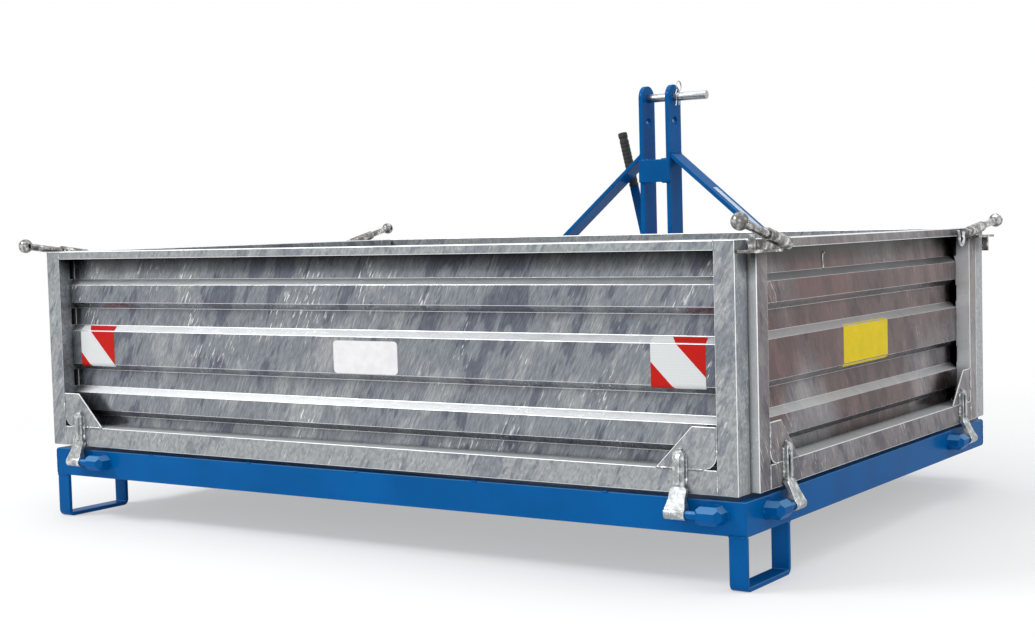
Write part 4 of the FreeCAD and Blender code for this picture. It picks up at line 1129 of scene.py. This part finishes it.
@dataclass
class HeadstockWelds:
    """Welds of the headstock: mast, tie plate, braces and hitch posts."""

    mast_inner: float = 38.0
    mast_outer: float = 52.0
    rear: float = 1468.0
    front: float = 1543.0
    beam_top: float = 180.0
    tie_inner: float = 22.0
    tie_outer: float = 47.0
    tie_low: float = 850.0
    tie_high: float = 918.0
    brace_top: float = 937.0
    brace_high: float = 14.0
    brace_foot: float = 947.0
    brace_rear: float = 1470.5
    brace_front: float = 1540.5
    post_low: float = 372.5
    post_high: float = 452.5
    post_rear: float = 1470.0
    post_front: float = 1520.0
    mast_bead: float = 4.0
    tie_bead: float = 4.2
    brace_bead: float = 4.4
    under_bead: float = 4.0
    foot_bead: float = 4.2
    post_bead: float = 3.8

    def side_beads(self, side: int) -> list[Bead]:
        """Return the beads of one half.

        Args:
            side: 1 for the right-hand half and -1 for the left.

        Returns:
            The beads.
        """
        top = self.beam_top
        outer, inner = side * self.mast_outer, side * self.mast_inner
        tie_inner, tie_outer = side * self.tie_inner, side * self.tie_outer
        low, high = side * self.post_low, side * self.post_high
        foot = side * self.brace_foot
        brace_top, brace_under = self.brace_top, self.brace_top - self.brace_high
        lines = [
            ((outer, self.rear, top), (outer, self.front, top), self.mast_bead),
            ((inner, self.rear, top), (outer, self.rear, top), self.mast_bead),
            ((tie_inner, self.rear, self.tie_low), (tie_outer, self.rear, self.tie_low),
             self.tie_bead),
            ((tie_inner, self.rear, self.tie_high), (tie_outer, self.rear, self.tie_high),
             self.tie_bead),
            ((outer, self.brace_rear, brace_top), (outer, self.brace_front, brace_top),
             self.brace_bead),
            ((outer, self.brace_rear, brace_under), (outer, self.brace_front, brace_under),
             self.under_bead),
            ((foot, self.brace_rear, top), (foot, self.brace_front, top), self.foot_bead),
            ((low, self.post_rear, top), (high, self.post_rear, top), self.post_bead),
            ((low, self.post_rear, top), (low, self.post_front, top), self.post_bead),
            ((high, self.post_rear, top), (high, self.post_front, top), self.post_bead)]
        return [Bead(start, end, size) for start, end, size in lines]

    def build(self) -> bpy.types.Object:
        """Gather the headstock's beads.

        Returns:
            Them all as one piece.
        """
        beads = self.side_beads(1) + self.side_beads(-1)
        return WeldSet("headstock_weld_beads", Body.HEADSTOCK, Finish.ENAMEL, Slot.BLUE,
                       beads).build()


# ---------------------------------------------------------------- films on the ribs

@dataclass
class RibFilm:
    """A rectangle of film laid on the middle rib of a side, following its flanks.

    "near" and "far" are its ends along the side, "low" and "high" its heights, and "face" is
    where the rib's crest lies, all in millimetres.
    """

    name: str
    finish: Finish
    body: Body
    near: float
    far: float
    low: float
    high: float
    face: float
    along_x: bool = True
    corner: float = 2.0
    thick: float = 0.35
    sunk: float = 0.05
    crest_low: float = 401.0
    crest_high: float = 487.0
    flank_run: float = 15.0
    flank_depth: float = 16.0
    column: float = 8.0
    row: float = 5.0
    least_cells: int = 8

    def depth(self, z: float) -> float:
        """Return how far the rib's surface lies behind its crest at a height."""
        past = max(z - self.crest_high, self.crest_low - z, 0.0)
        return past / self.flank_run * self.flank_depth

    def place(self, run: float, z: float) -> Vector:
        """Return a point on the film's back.

        Args:
            run: Position along the side.
            z: Height above the ground.

        Returns:
            The point, in metres.
        """
        back = self.depth(z) - self.sunk
        if self.along_x:
            return station(run, self.face + back, z)
        step = 1 if self.face > 0 else -1
        return station(self.face - step * back, run, z)

    def rounded(self, run: float, rise: float) -> tuple[float, float]:
        """Draw a point of the rectangle in to its rounded corner.

        Args:
            run: Distance from the film's near end.
            rise: Distance from its lower edge.

        Returns:
            Both distances, changed only in a corner.
        """
        width, height, radius = self.far - self.near, self.high - self.low, self.corner
        near_x, near_z = min(run, width - run), min(rise, height - rise)
        gap = Vector((radius - near_x, radius - near_z))
        if near_x < radius and near_z < radius and gap.length > radius:
            gap = gap.normalized() * radius
            run = radius - gap.x if run < width / 2 else width - radius + gap.x
            rise = radius - gap.y if rise < height / 2 else height - radius + gap.y
        return run, rise

    def build(self) -> bpy.types.Object:
        """Lay a grid on the rib, give it its own UV map and thicken it.

        Returns:
            The piece that rides on the side.
        """
        width, height = self.far - self.near, self.high - self.low
        columns = max(self.least_cells, round(width / self.column))
        rows = max(self.least_cells, round(height / self.row))
        shape = bmesh.new()
        film = shape.loops.layers.uv.new("film")
        bmesh.ops.create_grid(shape, x_segments=columns, y_segments=rows, size=0.5)
        places = {vert: self.rounded((vert.co.x + 0.5) * width, (vert.co.y + 0.5) * height)
                  for vert in shape.verts}
        for face in shape.faces:
            for loop in face.loops:
                run, rise = places[loop.vert]
                across = run if self.along_x or self.face < 0 else width - run
                loop[film].uv = (across / width, rise / width)
        for vert, (run, rise) in places.items():
            vert.co = self.place(self.near + run, self.low + rise)
        bmesh.ops.recalc_face_normals(shape, faces=shape.faces)
        outward = Vector((math.copysign(1, self.face), 0, 0))
        if self.along_x:
            outward = Vector((0, -1, 0))
        if shape.faces[0].normal.dot(outward) < 0:
            bmesh.ops.reverse_faces(shape, faces=shape.faces)
        bmesh.ops.solidify(shape, geom=shape.faces, thickness=-self.thick * MM)
        return hand_over(self.name, shape, self.finish, self.body, smooth_below=50.0)


@dataclass
class BraceDecal:
    """A blank pale strip stuck on the upper face of the right brace."""

    name: str = "brace_decal"
    high: tuple[float, float, float] = (181.0, 1505.5, 828.5)
    low: tuple[float, float, float] = (344.0, 1505.5, 690.8)
    width: float = 26.0
    thick: float = 0.3

    def build(self) -> bpy.types.Object:
        """Lay a thin grid along the brace's slope and thicken it.

        Returns:
            The decal.
        """
        top, foot = station(*self.high), station(*self.low)
        run = (foot - top).normalized()
        side = Vector((0, 1, 0))
        up = side.cross(run).normalized()
        if up.z < 0:
            up.negate()
        shape = bmesh.new()
        bmesh.ops.create_grid(shape, x_segments=12, y_segments=3, size=0.5)
        middle = top.lerp(foot, 0.5) + up * self.thick * MM
        length = (foot - top).length
        for vert in shape.verts:
            vert.co = middle + run * vert.co.x * length + side * vert.co.y * self.width * MM
        bmesh.ops.solidify(shape, geom=shape.faces, thickness=self.thick * MM)
        return hand_over(self.name, shape, Finish.DECAL, Body.HEADSTOCK)


# ---------------------------------------------------------------- latches, clip and grip

@dataclass
class LatchLever:
    """A slide bolt: rod on a tilted axis, washer and cross-bored ball knob.

    Its inner end has a chamfered nut on a front latch and a rounded head on a rear one. A
    profile is distances along the rod and radii there, in millimetres: the nut's and the head's
    from the rod's inner end, and the washer's from where the washer starts.
    """

    side: int
    inner: float
    reach: float
    rise: float
    forward: bool
    across: float = 1024.0
    depth: float = 1440.0
    level: float = 682.0
    rod: float = 9.0
    ball: float = 18.0
    bore: float = 5.0
    bore_edge: float = 0.8
    lip: float = 1.2
    chamfer: float = 1.2
    tip: float = 0.85
    flare: float = 1.25
    neck: float = 4.0
    overlap: float = 5.0
    sides: int = 28
    ball_rings: int = 15
    nut_sides: int = 6
    nut: tuple[tuple[float, float], ...] = ((0.6, 11.7), (2.2, 13.0), (12.8, 13.0), (14.4, 11.7))
    head: tuple[tuple[float, float], ...] = (
        (0.2, 3.9), (0.9, 7.28), (2.4, 10.4), (4.8, 12.48), (8.0, 13.39), (9.4, 13.0),
        (10.0, 11.7))
    washer: tuple[tuple[float, float], ...] = ((0.0, 12.48), (0.4, 13.0), (2.6, 13.0),
                                               (3.0, 12.48))
    washer_on_nut: float = 15.0
    washer_on_head: float = 13.0

    def axis(self) -> tuple[Vector, Vector]:
        """Find the rod's axis.

        Returns:
            The rod's inner end and the ball's centre.
        """
        near, far = self.inner, self.inner - self.reach
        if self.forward:
            near, far = self.depth - near, self.depth - far
        return (station(self.side * self.across, near, self.level),
                station(self.side * self.across, far, self.level + self.rise))

    def add(self, shape: bmesh.types.BMesh) -> None:
        """Add the lever to a bmesh.

        Args:
            shape: The bmesh to add to.
        """
        start, centre = self.axis()
        way = (centre - start).normalized()
        length = (centre - start).length / MM
        bar = Sweep(self.sides)
        bar.turned(shape, start, way, (
            (0.0, self.rod * self.tip), (self.chamfer, self.rod),
            (length - self.ball - self.neck, self.rod),
            (length - self.ball + self.overlap, self.rod * self.flare)))
        if self.forward:
            Sweep(self.nut_sides).turned(shape, start, way, self.nut)
        else:
            bar.turned(shape, start, way, self.head)
        behind = self.washer_on_nut if self.forward else self.washer_on_head
        bar.turned(shape, start, way,
                   [(behind + place, radius) for place, radius in self.washer])
        self.add_ball(shape, centre)

    def add_ball(self, shape: bmesh.types.BMesh, centre: Vector) -> None:
        """Add the ball knob, turned round the axis of its cross bore.

        Args:
            shape: The bmesh to add to.
            centre: The ball's centre.
        """
        ball, bore = self.ball * MM, self.bore * MM
        open_at = math.degrees(math.asin((self.bore + self.bore_edge) / self.ball))
        profile = arc(centre, Vector((-ball, 0, 0)), Vector((0, 0, ball)), open_at,
                      180 - open_at, self.ball_rings)
        mouth = math.sqrt(ball * ball - bore * bore) - self.lip * MM
        profile.append(centre + Vector((mouth, 0, bore)))
        profile.append(centre + Vector((-mouth, 0, bore)))
        verts = [bmesh.ops.create_vert(shape, co=place)["vert"][0] for place in profile]
        edges = [shape.edges.new(pair) for pair in zip(verts, verts[1:] + verts[:1])]
        bmesh.ops.spin(shape, geom=edges, cent=centre, axis=(1, 0, 0), dvec=(0, 0, 0),
                       angle=math.tau, steps=self.sides, use_merge=True)


@dataclass
class LatchSet:
    """Both latch levers of one side, in place of the plain packed ones."""

    side: int
    body: Body
    node: str
    rear_rise: float
    front_rise: float
    front_reach: float
    rear_reach: float = 222.0
    rear_inner: float = 168.0
    front_inner: float = 197.0
    join_within: float = 0.01

    def build(self) -> bpy.types.Object:
        """Build both levers.

        Returns:
            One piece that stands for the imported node.
        """
        shape = bmesh.new()
        LatchLever(self.side, self.rear_inner, self.rear_reach, self.rear_rise,
                   forward=False).add(shape)
        LatchLever(self.side, self.front_inner, self.front_reach, self.front_rise,
                   forward=True).add(shape)
        bmesh.ops.remove_doubles(shape, verts=shape.verts, dist=self.join_within * MM)
        piece = hand_over(self.node + "_dressed", shape, Finish.LATCH, self.body)
        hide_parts(self.node)
        return piece


@dataclass
class LatchHook:
    """The small curved hook that hangs beside the nut of a front latch.

    Its tail, bend and tip are given by how far they lie behind or past the nut.
    """

    side: int
    body: Body
    name: str
    across: float = 1024.0
    nut_at: float = 1232.0
    eye: float = 686.0
    bottom: float = 653.0
    bar: float = 4.5
    tail: float = 40.0
    tail_rise: float = 4.0
    tip: float = 2.0
    bend_at: float = 18.0
    bend_wide: float = 17.0
    bend_deep: float = 14.0
    bend: tuple[float, float] = (-20.0, 200.0)

    def build(self) -> bpy.types.Object:
        """Bend one bar down, round and up again.

        Returns:
            The hook.
        """
        x = self.side * self.across
        turn = station(x, self.nut_at - self.bend_at, self.bottom + self.bend_deep)
        path = [station(x, self.nut_at - self.tail, self.eye + self.tail_rise)]
        path += arc(turn, Vector((0, -self.bend_wide * MM, 0)),
                    Vector((0, 0, -self.bend_deep * MM)), *self.bend, count=12)
        path.append(station(x, self.nut_at + self.tip, self.eye))
        shape = bmesh.new()
        Sweep(10).run(shape, path, [self.bar * MM] * len(path))
        return hand_over(self.name, shape, Finish.FORGED, self.body)


@dataclass
class ZincRun:
    """A thick bright run of zinc that froze in the top valley of the right side.

    Each stop of its path is a position along the side, a height and the run's radius there.
    """

    name: str = "zinc_run"
    face: float = 952.6
    stops: tuple[tuple[float, float, float], ...] = (
        (512, 655, 1.2), (506, 657, 1.8), (501, 653, 2.0), (500, 645, 1.7), (501, 634, 1.4),
        (503, 622, 1.8))

    def build(self) -> bpy.types.Object:
        """Draw the run as a thin bent bead.

        Returns:
            The run.
        """
        shape = bmesh.new()
        Sweep(8).run(shape, [station(self.face, run, z) for run, z, _ in self.stops],
                     [radius * MM for _, _, radius in self.stops])
        return hand_over(self.name, shape, Finish.FORGED, Body.RIGHT)


@dataclass
class SpringClip:
    """The spring-wire clip that holds the top-link pin: a ring, a straight leg and a bowed one.

    Heights are above the pin's axis, and the bow is how far the second leg stands off it.
    """

    node: str = "top_link_clip"
    axis: float = 1104.0
    wire: float = 2.024
    ring: float = 15.0
    ring_at: float = 31.7
    turn: tuple[float, float] = (-75.0, 245.0)
    lean: float = 24.0
    leg_low: float = -24.5
    leg_high: float = 13.0
    bow: tuple[float, ...] = (20.0, 17.0, 14.5, 16.5, 19.0)
    bow_high: float = 6.0
    bow_step: float = 8.5

    def build(self) -> bpy.types.Object:
        """Bend the wire down through the pin, round the ring and down outside the pin.

        Returns:
            The clip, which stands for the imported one.
        """
        low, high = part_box(self.node)
        middle = (low + high) / 2
        hole = Vector((middle.x, middle.y, self.axis * MM))
        swing = math.radians(self.lean)
        across = Vector((0, math.cos(swing), -math.sin(swing)))
        rise = Vector((0, math.sin(swing), math.cos(swing)))
        path = [hole + Vector((0, 0, z * MM)) for z in (self.leg_low, self.leg_high)]
        path += arc(hole + Vector((0, 0, self.ring_at * MM)), across * self.ring * MM,
                    rise * self.ring * MM, *self.turn, count=26)
        for index, out in enumerate(self.bow):
            z = self.bow_high - index * self.bow_step
            path.append(hole + Vector((0, -out * MM, z * MM)))
        shape = bmesh.new()
        Sweep(10).run(shape, path, [self.wire * MM] * len(path))
        piece = hand_over(self.node + "_dressed", shape, Finish.PLATED,
                          Body.HEADSTOCK, smooth_below=60.0)
        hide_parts(self.node)
        return piece


@dataclass
class RubberGrip:
    """The moulded grip of the release lever: collar, finger ribs and a rounded end.

    A profile is distances in millimetres, from where its own feature starts, and shares of the
    grip's radius.
    """

    node: str = "release_grip"
    radius: float = 14.5
    end_at: float = 152.0
    lean: float = 13.0
    pivot: float = 301.0
    lever: float = 555.0
    ribs: int = 11
    first_rib: float = 14.0
    pitch: float = 12.2
    collar: tuple[tuple[float, float], ...] = ((0.0, 0.78), (1.5, 1.0), (9.0, 1.0), (10.5, 0.91))
    rib: tuple[tuple[float, float], ...] = ((0.0, 0.91), (1.6, 0.985), (9.4, 0.985),
                                            (11.0, 0.91))
    end: tuple[tuple[float, float], ...] = ((2.0, 0.88), (4.0, 1.0), (16.0, 1.0), (18.0, 0.95),
                                            (19.4, 0.78), (20.0, 0.1))

    def build(self) -> bpy.types.Object:
        """Turn the grip in one piece.

        Returns:
            The grip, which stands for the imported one.
        """
        low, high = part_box(self.node)
        swing = math.radians(self.lean)
        way = Vector((-math.sin(swing), 0, math.cos(swing)))
        foot = Vector((0, (low.y + high.y) / 2, self.pivot * MM)) + way * self.lever * MM
        profile = list(self.collar)
        for index in range(self.ribs):
            start = self.first_rib + index * self.pitch
            profile += [(start + place, share) for place, share in self.rib]
        profile += [(self.end_at + place, share) for place, share in self.end]
        shape = bmesh.new()
        Sweep(28).turned(shape, foot, way,
                         [(place, self.radius * share) for place, share in profile])
        piece = hand_over(self.node + "_dressed", shape, Finish.RUBBER,
                          Body.HEADSTOCK, smooth_below=50.0)
        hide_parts(self.node)
        return piece


# ---------------------------------------------------------------- studio

@dataclass(frozen=True)
class Softbox:
    """One soft rectangular light: where it hangs, what it points at, its size and its power."""

    name: str
    place: tuple[float, float, float]
    target: tuple[float, float, float]
    size: tuple[float, float]
    watts: float

    def build(self) -> None:
        """Add the light."""
        data = bpy.data.lights.new(self.name, "AREA")
        data.shape = "RECTANGLE"
        data.size, data.size_y = self.size
        data.energy = self.watts
        light = bpy.data.objects.new(self.name, data)
        bpy.context.scene.collection.objects.link(light)
        way = Vector(self.target) - Vector(self.place)
        turn = way.to_track_quat("-Z", "Y").to_matrix().to_4x4()
        light.matrix_world = Matrix.Translation(self.place) @ turn


@dataclass
class Studio:
    """Pale floor, white world, soft lights and the camera, in metres."""

    eye: tuple[float, float, float] = (2.413127, -3.670973, 0.740703)
    right: tuple[float, float, float] = (0.83083979, 0.55588247, -0.02645613)
    up: tuple[float, float, float] = (-0.01063179, 0.06338525, 0.9979325)
    ahead: tuple[float, float, float] = (-0.55641011, 0.82884075, -0.05857301)
    sensor: float = 36.0
    lens: float = 57.106
    floor_half: float = 20.0
    fade_from: float = 1.4
    fade_to: float = 3.4
    near_glow: float = 0.42
    room: tuple[float, float, float, float] = (0.86, 0.88, 0.9, 1.0)
    room_strength: float = 0.58
    lights: tuple[Softbox, ...] = (
        Softbox("overhead", (0.3, 0.2, 4.2), (0.0, 0.0, 0.3), (4.5, 4.0), 90),
        Softbox("high_left", (-3.3, -3.6, 4.6), (0.0, -0.7, 0.4), (2.6, 1.2), 190),
        Softbox("right", (4.6, 0.6, 2.2), (1.0, 0.0, 0.4), (2.4, 2.0), 24),
        Softbox("front", (2.9, -5.4, 1.6), (0.6, 0.3, 0.4), (2.6, 1.8), 55))

    def camera(self) -> None:
        """Add the camera."""
        data = bpy.data.cameras.new("camera")
        data.sensor_width = self.sensor
        data.lens = self.lens
        camera = bpy.data.objects.new("camera", data)
        bpy.context.scene.collection.objects.link(camera)
        axes = (Vector(self.right), Vector(self.up), -Vector(self.ahead))
        turn = Matrix([[axis[row] for axis in axes] for row in range(3)])
        camera.matrix_world = Matrix.Translation(self.eye) @ turn.to_4x4()
        bpy.context.scene.camera = camera

    def backdrop_rays(self, tree: Tree) -> Socket:
        """Tell the rays that show the backdrop: the camera's, mirrored and refracted ones.

        Args:
            tree: The tree to add to.

        Returns:
            1 for such a ray and 0 for the others.
        """
        path = add_node(tree, "LightPath")
        seen = add_node(tree, "Math", {"operation": "MAXIMUM"},
                        {0: path.outputs["Is Camera Ray"], 1: path.outputs["Is Glossy Ray"]})
        both = add_node(tree, "Math", {"operation": "MAXIMUM"},
                        {0: seen, 1: path.outputs["Is Transmission Ray"]})
        return both.outputs[0]

    def floor(self) -> None:
        """Add the pale floor, which keeps the shadow and turns into the backdrop far off."""
        shape = bmesh.new()
        bmesh.ops.create_grid(shape, x_segments=1, y_segments=1, size=self.floor_half)
        mesh = bpy.data.meshes.new("floor")
        shape.to_mesh(mesh)
        shape.free()
        material, tree = new_material("pale_studio_floor")
        paint = add_node(tree, "BsdfPrincipled", {"Base Color": linear(Tone.FLOOR),
                                                  "Roughness": 0.9, "Specular IOR Level": 0.1})
        glow = add_node(tree, "Emission", {"Color": linear(Tone.WHITE), "Strength": 1.0})
        # Fade: round the object the paint keeps its shadow, and further off it is all white.
        place = add_node(tree, "TexCoord").outputs["Object"]
        away = add_node(tree, "VectorMath", {"operation": "LENGTH"}, {0: place})
        far = add_node(tree, "MapRange", {"interpolation_type": "SMOOTHSTEP",
                                          "From Min": self.fade_from,
                                          "From Max": self.fade_to},
                       {"Value": away.outputs["Value"]})
        lifted = add_node(tree, "MapRange", {"To Min": self.near_glow}, {"Value": far})
        share = add_node(tree, "Math", {"operation": "MULTIPLY"},
                         {0: lifted, 1: self.backdrop_rays(tree)})
        shader = add_node(tree, "MixShader", links={0: share, 1: paint, 2: glow})
        add_node(tree, "OutputMaterial", links={"Surface": shader})
        mesh.materials.append(material)
        floor = bpy.data.objects.new("floor", mesh)
        bpy.context.scene.collection.objects.link(floor)

    def world(self) -> None:
        """Set a white backdrop for the camera and the metal over a softer light for the rest."""
        world = bpy.data.worlds.new("studio")
        world.use_nodes = True
        tree = world.node_tree
        tree.nodes.clear()
        room = add_node(tree, "Background", {"Color": self.room,
                                             "Strength": self.room_strength})
        backdrop = add_node(tree, "Background", {"Color": linear(Tone.WHITE), "Strength": 1.0})
        mix = add_node(tree, "MixShader", links={0: self.backdrop_rays(tree), 1: room,
                                                 2: backdrop})
        add_node(tree, "OutputWorld", links={"Surface": mix})
        bpy.context.scene.world = world

    def build(self) -> None:
        """Set up the whole studio."""
        self.camera()
        self.floor()
        self.world()
        for light in self.lights:
            light.build()
        bpy.context.scene.view_settings.view_transform = "Standard"


# ---------------------------------------------------------------- the whole box

@dataclass(frozen=True)
class Dressing:
    """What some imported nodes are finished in, and how wide and round their edges are."""

    finish: Finish
    edge_mm: float
    nodes: tuple[str, ...]
    segments: int = 2


class NodeGroup(Enum):
    """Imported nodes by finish."""

    BLUE = Dressing(Finish.ENAMEL, 1.6, (
        "frame_cross_members", "tipping_lugs", "catch_peg", "headstock_beam", "beam_end_caps",
        "tipping_arms", "mast_plate_right", "mast_plate_left", "mast_tie_plate", "brace_right",
        "brace_left", "hitch_posts", "lower_hitch_ears", "release_bearing", "release_lever",
        "catch_hook"))
    FRAME = Dressing(Finish.FRAME_ENAMEL, 1.6, (
        "frame_end_rails", "frame_side_rails", "rear_feet", "front_feet"))
    LUGS = Dressing(Finish.FRAME_ENAMEL, 4.0, (
        "rear_hinge_pins", "right_hinge_pins", "left_hinge_pins"), 3)
    SHEETS = Dressing(Finish.SHEET, 5.0, ("rear_side_sheet", "headboard_sheet"), 4)
    SIDE_SHEETS = Dressing(Finish.SIDE_SHEET, 5.0, ("right_side_sheet", "left_side_sheet"), 4)
    POSTS = Dressing(Finish.POST, 1.8, (
        "rear_side_posts", "rear_side_rails", "rear_side_gussets", "headboard_posts",
        "headboard_rails"))
    SIDE_POSTS = Dressing(Finish.SIDE_POST, 1.8, (
        "right_side_posts", "right_side_rails", "right_side_gussets", "left_side_posts",
        "left_side_rails", "left_side_gussets"))
    FORGINGS = Dressing(Finish.FORGED, 1.2, (
        "rear_side_straps", "right_side_straps", "left_side_straps"))
    LATCHES = Dressing(Finish.LATCH, 1.2, ("right_latch_brackets", "left_latch_brackets"))
    TURNED = Dressing(Finish.PLATED, 0.8, ("top_link_pin", "lower_hitch_studs",
                                           "tipping_shaft"))
    FLOOR = Dressing(Finish.FLOOR_SHEET, 0.0, ("floor_sheet",))


def main() -> None:
    """Dress the solids, build every added piece and set up the studio."""
    for group in NodeGroup:
        dress(group.value.nodes, group.value.finish, group.value.edge_mm, group.value.segments)
    PanelWelds("rear_side_weld_beads", Body.REAR, face=-4.0, along_x=True, low_end=-1004.0,
               high_end=986.0, post=46.0, straps=(-900.0, 858.0)).build()
    for name, body, face in (("right_side_weld_beads", Body.RIGHT, 1004.0),
                             ("left_side_weld_beads", Body.LEFT, -1004.0)):
        PanelWelds(name, body, face=face, along_x=False, low_end=56.0, high_end=1384.0,
                   post=50.0, straps=(180.0, 1260.0)).build()
    FrameWelds().build()
    HeadstockWelds().build()
    for name, finish, near, far in (("rear_reflector_right", Finish.FILM_RIGHT, 775, 901),
                                    ("rear_reflector_left", Finish.FILM_LEFT, -925, -802)):
        RibFilm(name, finish, Body.REAR, near=near, far=far, low=396, high=500,
                face=32.0).build()
    RibFilm("rear_blank_sticker", Finish.STICKER_WHITE, Body.REAR, near=-67, far=121, low=402,
            high=478, face=32.0, corner=9.0).build()
    RibFilm("side_blank_sticker", Finish.STICKER_YELLOW, Body.RIGHT, near=575, far=842,
            low=395, high=491, face=968.0, along_x=False, corner=4.0).build()
    BraceDecal().build()
    LatchSet(1, Body.RIGHT, "right_latch_levers", rear_rise=49.0, front_rise=30.0,
             front_reach=251.0).build()
    LatchSet(-1, Body.LEFT, "left_latch_levers", rear_rise=30.0, front_rise=49.0,
             front_reach=217.0).build()
    LatchHook(1, Body.RIGHT, "right_latch_hook").build()
    ZincRun().build()
    SpringClip().build()
    RubberGrip().build()
    Studio().build()


if __name__ == "__main__":
    main()
